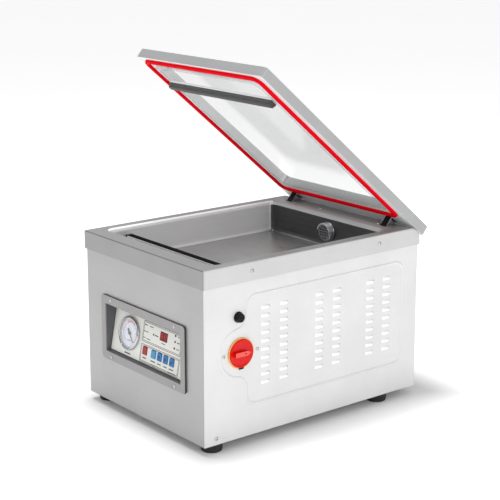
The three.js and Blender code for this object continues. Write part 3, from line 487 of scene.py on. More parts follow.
def deck_skin():
    """Deck, skirt and tub as one sheet: the deck's box first, then rings down into the chamber."""
    x, y, top, low, roll = DECK["x"], DECK["y"], DECK["top"], DECK["skirt"], DECK["roll"]
    arc = [math.radians(90 - 90 * k / 12) for k in range(13)]
    profile = [(-y, low), (-y, top)]
    profile += [(y - roll + roll * math.cos(a), top - roll + roll * math.sin(a)) for a in arc]
    profile.append((y, low))
    n = len(profile)
    points = [(side * x, u, v) for side in (-1, 1) for u, v in profile]
    faces = [tuple(range(n)), tuple(range(n, 2 * n))]
    faces += [(k, k + 1, n + k + 1, n + k) for k in range(n - 1) if k != 1]
    inner = [(x - 6, -y + 6), (x - 6, y - roll - 6), (-x + 6, y - roll - 6), (-x + 6, -y + 6)]
    base = len(points)
    points += [(u, v, top) for u, v in inner]
    outer = [n + 1, n + 2, 2, 1]
    faces += [(outer[k], outer[(k + 1) % 4], base + (k + 1) % 4, base + k) for k in range(4)]
    bend, fillet, band = 8, 7, 29
    rise = 1.6
    steps = 8
    line = [(bend - bend * math.sin(a), top - bend + bend * math.cos(a))
            for a in (math.radians(15 * k) for k in range(7))]
    floor = CHAMBER["floor"]
    line += [(-fillet + fillet * math.cos(a), floor + fillet - fillet * math.sin(a))
             for a in (math.radians(18 * k) for k in range(6))]
    line += [(-band + 1, floor), (-band - 1, floor + 0.3)]
    line += [(-band - 2.2, floor + rise - 0.3), (-band - 4, floor + rise)]
    rings = []
    for grow, z in line:
        r = max(CHAMBER["corner"] + grow, 3) if grow > -20 else 14
        outline = rect(-CHAMBER["x"] - grow, CHAMBER["front"] - grow, CHAMBER["x"] + grow,
                       CHAMBER["rear"] + grow, r, steps)
        rings.append([(u, v, z) for u, v in outline])
    ring_base = len(points)
    faces += corner_fill(inner, rings[0], steps, base, ring_base)
    tub_points, tub_faces = loft(rings, caps=False)
    points += tub_points
    faces += [tuple(ring_base + i for i in face) for face in tub_faces]
    last = ring_base + (len(rings) - 1) * len(rings[0])
    faces.append(tuple(range(last, last + len(rings[0]))))
    skin = piece("deck_skin", (points, faces), "cabinet", "brushed_steel", "top_deck", "chamber_tub",
                 bevel=2.4, segments=4, limit=50, outward=(0, 0, 1))
    apply_modifier(skin, "SOLIDIFY", thickness=SKIN_SHEET * MM, offset=-1)
    slots = []
    for side in (-1, 1):
        cx = side * HINGE_X
        outline = [(cx - 8, 179), (cx + 8, 179), (cx + 8, 188), (cx + 2, 188), (cx + 2, 209), (cx - 2, 209),
                   (cx - 2, 188), (cx - 8, 188)]
        slots.append(prism(outline, "z", top - 6, top + 2))
    cut(skin, joined(slots))
    edge_x, edge_y, rear = CHAMBER["x"], CHAMBER["front"], CHAMBER["rear"]

    def on_bend(c):
        at_front = edge_y - 9 < c.y < edge_y + 1 and abs(c.x) < edge_x
        at_left = -edge_x - 9 < c.x < 1 - edge_x and c.y < rear
        return 0.2 < top - c.z < 9 and (at_front or at_left)

    def in_tub(c):
        return abs(c.x) < edge_x + 3 and edge_y - 3 < c.y < rear + 3 and c.z < top - 3

    def at_tub_rear(c):
        return in_tub(c) and 241 < c.z < top - 5 and c.y > rear - 7

    # painted light: the skirt's side faces get a lighter copy of the deck's steel
    paint_faces(skin, "painted_skirt_light", lambda c, n: abs(c.x) > x - 1.8)
    # painted shade: the rim's front faces get a darker copy of the steel
    paint_faces(skin, "painted_rim_front_shade", lambda c, n: c.y < 1.8 - y and n.y < -0.5)
    # painted shade: the rim's top faces get a darker copy of the steel
    paint_faces(skin, "painted_rim_top_shade", lambda c, n: c.z > top - 2 and n.z > 0.7 and c.y < rear)
    paint_faces(skin, "fold_shade", lambda c, n: c.y < 1.4 - y and n.y < -0.2 and 0.4 < n.z < 0.93)
    # painted highlight: a near-white band along the inner bends at the front and left of the opening
    paint_faces(skin, "painted_bend_highlight", lambda c, n: on_bend(c))
    paint_faces(skin, "chamber_steel", lambda c, n: in_tub(c))
    # painted light: the tub's left wall, which faces +x, gets a lighter copy of the steel
    paint_faces(skin, "painted_lit_wall_steel", lambda c, n: in_tub(c) and n.x > 0.7)
    paint_faces(skin, "shaded_steel", lambda c, n: at_tub_rear(c))


# ---- louvred side panels with their pressed ridge ----
def ridge_path():
    """Closed (y, z) line: a rounded rectangle that swings round the main switch."""
    left, right, low, high, r = -143, 191.4, 65, 240, 19
    swing, fillet = 39, 20
    rise = math.sqrt((swing + fillet) ** 2 - (left - fillet - SWITCH["y"]) ** 2)
    meet = math.degrees(math.atan2(rise, SWITCH["y"] - left + fillet))
    arcs = (
        (right - r, low + r, r, -90, 0),
        (right - r, high - r, r, 0, 90),
        (left + r, high - r, r, 90, 180),
        (left - fillet, SWITCH["z"] + rise, fillet, 0, -meet),
        (SWITCH["y"], SWITCH["z"], swing, 180 - meet, 180 + meet),
        (left - fillet, SWITCH["z"] - rise, fillet, meet, 0),
        (left + r, low + r, r, 180, 270),
    )
    points = []
    for u, v, radius, start, end in arcs:
        steps = max(4, int(abs(end - start) / 7))
        for k in range(steps + 1):
            angle = math.radians(start + (end - start) * k / steps)
            points.append((u + radius * math.cos(angle), v + radius * math.sin(angle)))
    return points


def offset_line(points, distance):
    """Closed line moved sideways by a distance."""
    shifted = []
    n = len(points)
    for k, (u, v) in enumerate(points):
        before, after = points[k - 1], points[(k + 1) % n]
        du, dv = after[0] - before[0], after[1] - before[1]
        length = math.hypot(du, dv)
        shifted.append((u + dv / length * distance, v - du / length * distance))
    return shifted


def hood_height(y, z, centre_y, centre_z):
    """How far a louvre's hood stands out at a point of the panel."""
    along = (y - centre_y + LOUVRE["width"] / 2) / LOUVRE["hood"]
    across = (z - centre_z) / (LOUVRE["height"] / 2)
    if not 0 < along < 1.001 or abs(across) > 0.999:
        return 0
    return LOUVRE["proud"] * math.sin(min(along, 1) * math.pi / 2) ** 0.85 * (1 - across**2) ** 0.4


def side_skin(name, node, side):
    """Panel of small faces: each louvre is a raised hood with an open slot behind it."""
    half_w, half_h = LOUVRE["width"] / 2, LOUVRE["height"] / 2
    rows = [LOUVRE["top"] - k * LOUVRE["pitch"] for k in range(LOUVRE["rows"])]
    ys = [-BODY["y"], BODY["y"]]
    for c in LOUVRE_Y:
        ys += [c - half_w + LOUVRE["hood"] * k / 7 for k in range(8)]
        ys += [c - half_w + LOUVRE["hood"] + LOUVRE["slot"], c + half_w]
    zs = [BODY["bottom"], BODY["top"]]
    for c in rows:
        zs += [c - half_h + LOUVRE["height"] * k / 8 for k in range(9)]
    ys.sort()
    zs.sort()
    found, points, faces = {}, [], []

    def corner(y, z, column, row):
        lift = hood_height(y, z, column, row) if column is not None else 0
        key = (round(y, 4), round(z, 4), round(lift, 4))
        if key not in found:
            found[key] = len(points)
            points.append((side * (BODY["x"] + lift), y, z))
        return found[key]

    for y0, y1 in zip(ys, ys[1:]):
        for z0, z1 in zip(zs, zs[1:]):
            my, mz = (y0 + y1) / 2, (z0 + z1) / 2
            column = next((c for c in LOUVRE_Y if abs(my - c) < half_w), None)
            row = next((c for c in rows if abs(mz - c) < half_h), None)
            if row is None or column is None:
                column = row = None
            elif my > column - half_w + LOUVRE["hood"] + LOUVRE["slot"]:
                column = row = None
            elif my > column - half_w + LOUVRE["hood"]:
                continue
            around = ((y0, z0), (y1, z0), (y1, z1), (y0, z1))
            faces.append(tuple(corner(y, z, column, row) for y, z in around))
    skin = piece(name, (points, faces), "cabinet", "pale_steel", node, outward=(side, 0, 0))
    apply_modifier(skin, "SOLIDIFY", thickness=PANEL_SHEET * MM, offset=-1)
    # painted highlight: the louvre hoods get a near-white copy of the panel's steel
    paint_faces(skin, "painted_hood_highlight", lambda c, n: abs(c.x) > BODY["x"] + 0.05)
    path = ridge_path()
    section = ((-2.4, -0.3), (-1.7, 0.35), (-0.8, 0.95), (0, 1.15), (0.8, 0.95), (1.7, 0.35), (2.4, -0.3))
    rings = [[(side * (BODY["x"] + h), u, v) for u, v in offset_line(path, d)] for d, h in section]
    piece(name + "_ridge", loft(rings, closed=True), "cabinet", "pale_steel")


# ---- screws ----
def screws(name, centres, axis, radius, height, place=CABINET, face_sign=1, slot="chrome"):
    """Pan-head cross screws: centres are (u, v, w) with w on the surface they sit on."""
    heads, crosses = [], []
    for u, v, w in centres:
        line = [(radius, w), (radius, w + face_sign * height * 0.35)]
        line += [(radius * math.cos(a), w + face_sign * height * (0.35 + 0.65 * math.sin(a)))
                 for a in (math.radians(15 * k) for k in range(1, 6))]
        line.append((0, w + face_sign * height))
        heads.append(lathe(line, axis, (u, v), 24))
        arm, width = radius * 0.62, radius * 0.16
        top, bottom = w + face_sign * (height + 1), w + face_sign * height * 0.45
        quarter = [(arm, width), (width, width), (width, arm)]
        plus = []
        for _ in range(4):
            plus += quarter
            quarter = [(-b, a) for a, b in quarter]
        crosses.append(prism([(u + a, v + b) for a, b in plus], axis, min(top, bottom), max(top, bottom)))
    made = piece(name, joined(heads), "cabinet", slot, place=place, finish="screw_steel")
    cut(made, joined(crosses), place)
    return made


# ---- control panel ----
PRINT = (-0.12, 0.02)
# printed labels as plain bars: left, right, low and high on the plate
LABEL_BARS = (
    (-63, -47, 3.6, 5.6), (-13, -3, 8, 9.8), (10, 22, 8, 9.8), (28, 38, 8, 9.6),
    (44.5, 54.5, 8, 9.6), (60, 72, 8, 9.8), (10, 30, 3, 4), (14, 24, 1.2, 2),
    (-18, -10, 60.9, 62.3), (-4, 6, 60.9, 62.1), (-18, -6, 50.6, 51.8), (12, 22, 50, 51.6),
    (-18, -12, 40.4, 41.6), (-9, 2, 39.8, 41), (32, 42, 42.4, 43.6), (72, 80, 62.4, 63.6),
    (72, 80, 52.9, 54.1), (72, 80, 42.7, 43.9), (58, 78, 2.8, 4.2),
)
# printed frames: left, low, right and high on the plate
LABEL_FRAMES = ((-21, 33.9, 85, 68.4), (-21, 1, 85, 30.4))
# signal lamps: across, up and radius
LAMPS = ((66, 63.1, 1.6), (66.8, 53.6, 1.6), (66.8, 43.4, 1.6), (8.9, 51.1, 1.5))


def middle_rect(u, v, half_u, half_v, r, steps):
    """Rounded rectangle about its middle point."""
    return rect(u - half_u, v - half_v, u + half_u, v + half_v, r, steps)


def arrow(x, up, size, angle):
    """Outline of an arrow that points up the plate, turned by an angle."""
    c, s = math.cos(math.radians(angle)), math.sin(math.radians(angle))
    outline = [(0, 1), (1, 0), (0.38, 0), (0.38, -1), (-0.38, -1), (-0.38, 0), (-1, 0)]
    return [(x + size * (u * c - v * s), up + size * (u * s + v * c)) for u, v in outline]


def panel_frame():
    face = -BODY["y"] - 0.3
    outer = rect(-BEZEL["x"], BEZEL["low"], BEZEL["x"], BEZEL["high"], 6, 6)
    inner = rect(-RECESS["x"], RECESS["low"], RECESS["x"], RECESS["high"], 0.8, 6)
    ring = ring_prism(outer, inner, "y", face - BEZEL["proud"], face)
    bezel = piece("bezel_frame", ring, "cabinet", "slate_paint", "control_bezel", bevel=0.5)

    def outer_edge(c, n):
        by_recess = abs(c.x) <= RECESS["x"] + 2 and RECESS["low"] - 2 < c.z < RECESS["high"] + 2
        return abs(n.y) < 0.6 and not by_recess

    # painted shade: the bezel's outer side faces are near black
    paint_faces(bezel, "painted_shade_black", outer_edge)
    x, low, high = RECESS["x"] - 0.3, RECESS["low"] + 0.3, RECESS["high"] - 0.3
    outer = rect(-x, low, x, high, 0.6, 3)
    inner = rect(-x + 1, low + 1, x - 1, high - 1, 0.4, 3)
    sleeve = ring_prism(outer, inner, "y", -BODY["y"] - 1, -BODY["y"] + RECESS["depth"])
    # painted shade: the recess walls get a darker copy of the bezel's slate paint
    piece("recess_sleeve", sleeve, "cabinet", "slate_paint", "control_recess", finish="painted_recess_shade")


def panel_plate():
    sheet = prism(rect(-PLATE["x"], 0, PLATE["x"], PLATE["height"], 1, 3), "y", 0, 3)
    plate = piece("plate_face", sheet, "cabinet", "panel_film", "control_plate", place=PANEL, bevel=0.25)
    front, back = -2, 5
    line = [(0, front), (GAUGE["hole"], front), (GAUGE["hole"], back), (0, back)]
    holes = [lathe(line, "y", (GAUGE["x"], GAUGE["up"]), 48)]
    half_w, half_h = KEY["width"] / 2 + 0.4, KEY["height"] / 2 + 0.4
    for kx in KEYS.values():
        holes.append(prism(middle_rect(kx, KEY["up"], half_w, half_h, 1.5, 3), "y", front, back))
    cut(plate, joined(holes), PANEL)


def panel_prints():
    prints = [prism(rect(x0, v0, x1, v1, 0.3, 2), "y", *PRINT) for x0, x1, v0, v1 in LABEL_BARS]

    def frame_line(edges, inset):
        x0, v0, x1, v1 = edges
        return rect(x0 + inset, v0 + inset, x1 - inset, v1 - inset, 3 - inset / 2, 5)

    for edges in LABEL_FRAMES:
        for inset in (0, 2.1):
            inner = frame_line(edges, inset + 0.75)
            prints.append(ring_prism(frame_line(edges, inset), inner, "y", *PRINT))
    piece("plate_print", joined(prints), "cabinet", "panel_film", place=PANEL, finish="print_grey")
    domes = []
    for u, v, r in LAMPS:
        line = [(r, 0.1), (r, -0.5), (r * 0.7, -1), (r * 0.3, -1.2), (0, -1.25)]
        domes.append(lathe(line, "y", (u, v), 20))
    piece("signal_lamps", joined(domes), "cabinet", "display_red", place=PANEL, finish="lamp_dark")


def panel_display():
    """Red pane with two digits, each of seven bars."""
    u, v = DISPLAY["x"], DISPLAY["up"]
    outline = middle_rect(u, v, DISPLAY["width"] / 2, DISPLAY["height"] / 2, 0.8, 3)
    pane = prism(outline, "y", -0.5, 2.6)
    piece("display_pane", pane, "cabinet", "display_red", "display_window", place=PANEL, bevel=0.2)
    bars = []
    for cx in (u - 4.6, u + 4.6):
        bars += [(cx, v + dy, 1.9, 0.4) for dy in (-4, 0, 4)]
        bars += [(cx + dx, v + dy, 0.4, 1.5) for dx in (-2.3, 2.3) for dy in (-2, 2)]
    segments = [prism(middle_rect(*bar, 0.3, 2), "y", -0.6, -0.45) for bar in bars]
    piece("display_digits", joined(segments), "cabinet", "display_red", place=PANEL, finish="digit_red")


def panel_keys():
    up, top = KEY["up"], -KEY["proud"]
    hook = [(1, -0.2), (3, -0.2), (3, 3.4), (1.4, 3.4), (1.4, 0.9), (1, 0.9)]
    for key, kx in KEYS.items():
        outline = middle_rect(kx, up, KEY["width"] / 2, KEY["height"] / 2, 1.5, 4)
        slot = "red_plastic" if key == "stop" else "blue_plastic"
        finish = {"stop": "key_red", "set": "sky_plastic"}.get(key)
        piece(key + "_keycap", prism(outline, "y", top, 2.5), key + "_key", slot, key + "_button",
              place=PANEL, bevel=0.7, segments=3, finish=finish)
        marks = {
            "up": [arrow(kx, up, 3.2, 0)],
            "down": [arrow(kx, up, 3.2, 180)],
            "enter": [arrow(kx - 1, up - 1, 2.6, 90), [(kx + u, up + v) for u, v in hook]],
        }.get(key, [])
        if marks:
            symbol = joined([prism(mark, "y", top - 0.12, top + 0.05) for mark in marks])
            piece(key + "_symbol", symbol, key + "_key", slot, place=PANEL, finish="print_blue")


# ---- vacuum gauge ----
DIAL_PRINT = (-0.34, -0.15)
SCALE = {"start": -45, "sweep": 270, "ticks": 50, "long_every": 10, "outer": 18.4}
NEEDLE_REST = 48


def arc_band(r0, r1, start, end, steps=40):
    """Printed band round the gauge's centre, angles in degrees from +x."""
    inner, outer = [], []
    for k in range(steps + 1):
        a = math.radians(start + (end - start) * k / steps)
        for line, r in ((inner, r0), (outer, r1)):
            line.append((GAUGE["x"] + r * math.cos(a), GAUGE["up"] + r * math.sin(a)))
    return prism(inner + outer[::-1], "y", *DIAL_PRINT)


def dial_prints():
    start, sweep, ticks = SCALE["start"], SCALE["sweep"], SCALE["ticks"]
    marks = [arc_band(18.2, 18.6, start, start + sweep)]
    for k in range(ticks + 1):
        inner, half_turn = (15.4, 1.1) if k % SCALE["long_every"] == 0 else (16.8, 0.5)
        a = start + sweep * k / ticks
        marks.append(arc_band(inner, SCALE["outer"], a - half_turn, a + half_turn, steps=1))
    u, v = GAUGE["x"], GAUGE["up"]
    marks.append(prism(rect(u - 5, v - 12.6, u + 5, v - 11.4, 0.3, 2), "y", *DIAL_PRINT))
    prints = (
        ("dial_marks", joined(marks), "print_grey"),
        ("dial_red_arc", arc_band(19.2, 20.4, 52, 122), "print_red"),
        ("dial_pink_arc", arc_band(21.2, 23, 60, 178), "print_pink"),
    )
    for name, shape, finish in prints:
        piece(name, shape, "cabinet", "dial_white", place=PANEL, finish=finish)


def gauge():
    centre = (GAUGE["x"], GAUGE["up"])
    r, dial = GAUGE["radius"], GAUGE["dial"]
    ring = [(dial, -0.3), (r, -0.3), (r, -2.8), (r - 0.5, -4), (r - 1.5, -4.9), (r - 2.4, -5.1),
            (dial + 0.7, -4.7), (dial, -3.8)]
    rim = lathe(ring, "y", centre, 96, closed=True)
    piece("gauge_rim", rim, "cabinet", "chrome", "gauge_bezel", place=PANEL)
    face = [(0, -0.2), (dial - 0.3, -0.2), (dial - 0.3, 0.8), (0, 0.8)]
    piece("dial_face", lathe(face, "y", centre, 72), "cabinet", "dial_white", "gauge_dial", place=PANEL)
    glass = [(0, -4.1), (12, -4.05), (dial - 0.3, -3.8), (dial - 0.3, -3.1), (12, -3.3), (0, -3.35)]
    piece("gauge_pane", lathe(glass, "y", centre, 64), "cabinet", "gauge_glass", "gauge_lens", place=PANEL)
    dial_prints()
    turn = Matrix.Rotation(math.radians(NEEDLE_REST), 4, "Y")
    to_rest = Matrix.Translation((centre[0], 0, centre[1])) @ turn
    outline = [(-8.5, -1.7), (-3, -0.9), (19, -0.3), (19, 0.3), (-3, 0.9), (-8.5, 1.7)]
    hub = lathe([(0, -2.6), (1.8, -2.6), (2.6, -2.1), (2.6, -0.9), (0, -0.9)], "y", (0, 0), 24)
    pointer = moved(joined([prism(outline, "y", -1.8, -1.2), hub]), to_rest)
    piece("needle_pointer", pointer, "needle", "black_metal", "gauge_needle", place=PANEL)


# ---- right-hand fittings ----
FITTING_X = BODY["x"] + 0.3


def main_switch():
    y, z, r = SWITCH["y"], SWITCH["z"], SWITCH["radius"]
    x = FITTING_X
    base = [(10, x), (r + 0.4, x), (r + 0.4, x + 1.6), (r - 0.2, x + 2.2), (r - 1.2, x + 2.2),
            (r - 1.2, x + 1.2), (10, x + 1.2)]
    ring = lathe(base, "x", (y, z), 72, closed=True)
    piece("switch_ring", ring, "cabinet", "yellow_plastic", "main_switch_plate")
    x += 1.5
    knob_r = SWITCH["knob"]
    dish = [(0, x), (knob_r - 0.4, x), (knob_r - 0.4, x + 1.6), (knob_r - 0.9, x + 2.2),
            (knob_r - 1.5, x + 2.4), (knob_r - 2.2, x + 2.1), (knob_r - 3.4, x + 1.1),
            (knob_r - 5, x + 0.8), (12, x + 0.6), (0, x + 0.6)]
    piece("knob_cap", lathe(dish, "x", (y, z), 72), "switch_knob", "red_plastic", "main_switch_knob")
    grip = [(y - 14.5, z - 3.8), (y + 8.5, z - 3.8), (y + 14.5, z - 0.5), (y + 14.5, z + 0.5),
            (y + 8.5, z + 3.8), (y - 14.5, z + 3.8)]
    bar = piece("knob_grip", prism(grip, "x", x + 0.3, x + 6.5), "switch_knob", "red_plastic", bevel=0.9,
                segments=3, finish="painted_grip_highlight")
    hole_y = y + 4.5
    cut(bar, lathe([(0, x + 4), (1.3, x + 4), (1.3, x + 8), (0, x + 8)], "x", (hole_y, z), 20))
    # painted highlight: only the grip's top keeps the brighter red; its sides get the knob's own red
    paint_faces(bar, "red_plastic", lambda c, n: c.x < x + 5.6)
    # painted shade: near black inside the grip's hole
    paint_faces(bar, "painted_shade_black", lambda c, n: math.hypot(c.y - hole_y, c.z - z) < 1.4 and c.x > x + 3)
    tab = prism(rect(y - 4.5, z - r - 1.6, y + 4.5, z - r + 2, 1, 3), "x", x - 1.5, x + 1.2)
    piece("switch_tab", tab, "cabinet", "black_plastic", bevel=0.4)


def fuse_cap():
    """Fluted cap on a round flange, with a slot for a screwdriver."""
    y, z, r = FUSE["y"], FUSE["z"], FUSE["radius"]
    x = FITTING_X
    points_round = 14 * 4
    rings = []
    for w, grow in ((x + 2, 0), (x + 3, 0.4), (x + 7, 0), (x + 8.2, -0.8), (x + 8.5, -2.2), (x + 7.9, -3.2)):
        ring = []
        for k in range(points_round):
            t = 2 * math.pi * k / points_round
            groove = 0.45 if k % 4 == 0 and grow > -1 else 0
            ring.append((w, y + (r + grow - groove) * math.cos(t), z + (r + grow - groove) * math.sin(t)))
        rings.append(ring)
    line = [(0, x), (r + 1.5, x), (r + 1.5, x + 1.4), (r + 0.8, x + 2.1), (0, x + 2.1)]
    shape = joined([loft(rings), lathe(line, "x", (y, z), 40)])
    fuse = piece("fuse_cap", shape, "cabinet", "black_plastic", "fuse_holder")
    cut(fuse, box(x + 7.1, x + 9.5, y - 3.6, y + 3.6, z - 0.6, z + 0.6))


# ---- chamber fittings ----
def seal_bar_set():
    y, half, w = SEAL["y"], SEAL["half"], SEAL["width"] / 2
    low, top = SEAL["bottom"], SEAL["top"] - 1.6
    profile = [(y - w, low), (y + w, low), (y + w, low + 5), (y + w - 1.2, low + 6.2), (y + w - 1.2, top - 4),
               (y + w, top - 2.8), (y + w, top), (y - w, top), (y - w, top - 2.8), (y - w + 1.2, top - 4),
               (y - w + 1.2, low + 6.2), (y - w, low + 5)]
    bar = prism(profile, "x", -half, half)
    piece("bar_body", bar, "seal_bar", "bar_aluminium", "seal_bar", bevel=0.4)
    band = [(y - 5.5, top + 0.3), (y + 5.5, top + 0.3), (y + 5.5, top + 0.9), (y + 3.4, top + 1.5),
            (y, top + 1.6), (y - 3.4, top + 1.5), (y - 5.5, top + 0.9)]
    piece("bar_tape", prism(band, "x", -half + 1, half - 1), "seal_bar", "heater_tape", "seal_tape")
    knob = [(0, top - 6), (3, top - 6), (3.4, top - 5), (3.4, top + 0.2), (2.6, top + 1), (0, top + 1.2)]
    for side, label in ((-1, "left"), (1, "right")):
        x = side * (half + 3.6)
        block = prism(rect(y - 5.5, low + 3, y + 5.5, top + 0.4, 1.5, 4), "x", x - 3.2, x + 3.2)
        knobs = [lathe(knob, "z", (x, y + dy), 24) for dy in (-3.9, 3.9)]
        clamp = joined([block] + knobs)
        piece("wire_clamp_" + label, clamp, "seal_bar", "black_plastic", bevel=0.3, limit=60)


def suction_port():
    """Perforated cap on the chamber's rear wall, under a curved hood."""
    wall = CHAMBER["rear"] - 0.3
    face = wall - PORT["proud"]
    r = PORT["radius"]
    u, v = PORT["x"], PORT["z"]
    cap = [(0, wall), (r, wall), (r + 0.6, wall - 1.2), (r, wall - 2.2), (r, face + 2), (r - 0.6, face + 0.7),
           (r - 2, face), (0, face)]
    port = piece("suction_port", lathe(cap, "y", (u, v), 56), "cabinet", "zinc_steel", "vacuum_port")
    line = [(0, face - 1), (1.55, face - 1), (1.55, face + 3), (0, face + 3)]
    holes = []
    for row in range(-2, 3):
        for column in range(-2, 3):
            if abs(row) + abs(column) < 4:
                holes.append(lathe(line, "y", (u + column * 4.6, v + row * 4.6 - 1), 16))
    cut(port, joined(holes))

    def in_hole(c, n):
        return face + 0.05 < c.y < face + 3.2 and math.hypot(c.x - u, c.z - v) < r - 2.2

    paint_faces(port, "port_steel", lambda c, n: c.y < face + 0.6)
    # painted shade: near black inside the cap's holes
    paint_faces(port, "painted_shade_black", in_hole)
    outer, inner = [], []
    for k in range(17):
        a = math.radians(10 + 160 * k / 16)
        for line, reach in ((outer, r + 0.3), (inner, r - 2.4)):
            line.append((u + reach * math.cos(a), v + reach * math.sin(a)))
    hood = prism(outer + inner[::-1], "y", face - 3, face + 1)
    piece("port_hood", hood, "cabinet", "zinc_steel", bevel=0.8)


# ---- lid ----
DOME_FOOT = 12.6
# the dome's rings from its edge to its top: inset, height and corner radius
DOME_RINGS = (
    (0.6, DOME_FOOT, 12), (3, DOME_FOOT, 16), (4.5, 12.9, 18), (5.6, 14, 20), (8, 22, 24),
    (12, 36, 28), (14.5, 42.5, 30), (18, 46.4, 32), (23, 48.4, 34), (30, 49, 36),
)
# the gasket's section: inset from its outer line, and height
GASKET_SECTION = (
    (-4.7, 11.8), (-4.7, 10.9), (-4, 10.2), (-3.8, 9), (-2.4, 8.1), (0, 7.9),
    (2.4, 8.1), (3.8, 9), (4, 10.2), (4.7, 10.9), (4.7, 11.8),
)


def from_pivot(y):
    """A y of the cabinet's frame in the closed lid's frame."""
    return y - PIVOT["y"]


def window_rect(inset, r, steps, lean=0):
    """The window's outline, smaller by an inset; lean brings its rear edge forward."""
    front, rear = from_pivot(WINDOW["front"]), from_pivot(WINDOW["rear"])
    return rect(-WINDOW["x"] + inset, front + inset, WINDOW["x"] - inset, rear - inset - lean, r, steps)


def lid_frame():
    low, high = LID["low"], LID["low"] + LID["thick"]
    front, window_front = from_pivot(LID["front"]), from_pivot(WINDOW["front"])
    outer = rect(-LID["x"], front, LID["x"], from_pivot(LID["rear"]), 5, 5)
    ring = ring_prism(outer, window_rect(0, 12, 5), "z", low, high)
    body = piece("lid_profile", ring, "lid", "lid_aluminium", "lid_frame", place=LID_PLACE, bevel=1.2,
                 segments=3)
    mitres = []
    for side in (-1, 1):
        a = Vector((side * (LID["x"] + 1), front - 1))
        b = Vector((side * (WINDOW["x"] - 1), window_front + 1))
        along = (b - a).normalized()
        off = Vector((-along.y, along.x)) * 0.28
        outline = [tuple(a + off), tuple(b + off), tuple(b - off), tuple(a - off)]
        for z0, z1 in ((low - 1, low + 0.35), (high - 0.35, high + 1)):
            mitres.append(prism(outline, "z", z0, z1))
    cut(body, joined(mitres), LID_PLACE)
    to_lid = LID_PLACE.inverted()
    turn_to_lid = to_lid.to_3x3()
    # painted light: the frame's underside and the walls round the window get a near-white copy of its
    # aluminium
    body.data.materials.append(FINISH["painted_lit_lid_inside"])
    for face in body.data.polygons:
        spot = to_lid @ face.center
        lean = (turn_to_lid @ face.normal).normalized().z
        by_window = window_front - 1 < spot.y < from_pivot(WINDOW["rear"]) + 1
        window_wall = abs(lean) < 0.5 and abs(spot.x) < WINDOW["x"] + 0.5 and by_window
        if lean < -0.9 or window_wall:
            face.material_index = 1

    def faces_front(c, n):
        normal = (turn_to_lid @ n).normalized()
        return normal.y < -0.6 and normal.z > -0.5

    # painted shade: the frame's front faces get a darker copy of its aluminium
    paint_faces(body, "painted_lid_front_shade", faces_front)


def lid_dome():
    rings = []
    for inset, z, r in DOME_RINGS:
        outline = window_rect(inset, r, 10, lean=(z - DOME_FOOT) * 0.4)
        rings.append([(u, v, z) for u, v in outline])
    points, faces = loft(rings, caps=False)
    n = len(rings[0])
    faces.append(tuple(range(len(points) - n, len(points))))
    dome = piece("acrylic_dome", (points, faces), "lid", "clear_acrylic", "lid_window", place=LID_PLACE,
                 outward=(0, -0.6, 0.8))
    apply_modifier(dome, "SOLIDIFY", thickness=LID_SHEET * MM, offset=-1)


def lid_gasket():
    x, front, rear = GASKET["x"], from_pivot(GASKET["front"]), from_pivot(GASKET["rear"])
    rings = []
    for inset, z in GASKET_SECTION:
        outline = rect(-x + inset, front + inset, x - inset, rear - inset, GASKET["corner"] - inset, 10)
        rings.append([(u, v, z) for u, v in outline])
    piece("gasket_loop", loft(rings, closed=True), "lid", "red_silicone", "lid_gasket", place=LID_PLACE)


def pressure_bar():
    y, w, x = from_pivot(PRESS["y"]), PRESS["width"] / 2, PRESS["x"]
    holder = [(y - w, 12.3), (y - w, 10.4), (y - w + 1.2, 9.1), (y + w - 1.2, 9.1), (y + w, 10.4),
              (y + w, 12.3)]
    pad = [(y - 3.4, 0.1), (y + 3.4, 0.1), (y + 4.6, 1.1), (y + 4.6, 4), (y + 6.4, 4.8), (y + 6.4, 8.8),
           (y - 6.4, 8.8), (y - 6.4, 4.8), (y - 4.6, 4), (y - 4.6, 1.1)]
    parts = (
        ("bar_holder", holder, "bar_aluminium", "pressure_bar_holder"),
        ("bar_pad", pad, "grey_silicone", "pressure_bar_pad"),
    )
    for name, outline, slot, node in parts:
        piece(name, prism(outline, "x", -x, x), "lid", slot, node, place=LID_PLACE, bevel=0.4)


def lid_hinges():
    """Black straps from the lid to its pivots, with bare links and gussets."""
    leg = [(-22.5, -13), (-17.5, -13), (-19.5, -7), (-19.5, 9.1), (-4, 9.1), (-4, 11.8), (-22.5, 11.8)]
    link = [(-22.5, -13), (0, -4.6), (0, 1), (-20, -8)]
    gusset = [(-19.4, -6), (-19.4, 9), (-2, 9), (2.5, 6.5), (2.8, 4.5), (-8, 2)]
    to_lid = LID_PLACE.inverted()
    for side, label in ((-1, "left"), (1, "right")):
        cx = side * HINGE_X
        line = [(3.1, cx - 6.5), (5, cx - 6.5), (5, cx + 6.5), (3.1, cx + 6.5)]
        hub = lathe(line, "x", (0, 0), 40, closed=True)
        strap = joined([prism(leg, "x", cx - 6.5, cx + 6.5), prism(link, "x", cx - 6.4, cx + 6.4), hub])
        made = piece("hinge_strap_" + label, strap, "lid", "black_metal", "hinge_arm_" + label,
                     place=LID_PLACE, bevel=0.5)
        made.data.materials.append(FINISH["zinc_steel"])
        for face in made.data.polygons:
            spot = to_lid @ face.center
            if spot.y > -17.5 and spot.z < 8.5:
                face.material_index = 1
        plate = prism(gusset, "x", cx - 1.1, cx + 1.1)
        piece("hinge_gusset_" + label, plate, "lid", "zinc_steel", place=LID_PLACE, bevel=0.3)


# ---- feet ----
def feet():
    line = [(0, 0.9), (9, 0.9), (10, 0), (15.4, 0), (16.4, 0.8), (16.9, 3), (16.4, 4), (17.1, 5),
            (17.6, 12.4), (18, 13.7), (0, 13.7)]
    for end in ("front", "rear"):
        for side, label in ((-1, "left"), (1, "right")):
            name = f"foot_{end}_{label}"
            shape = lathe(line, "z", (side * FOOT["x"], FOOT[end]), 48)
            piece("rubber_" + name, shape, "cabinet", "black_rubber", name)


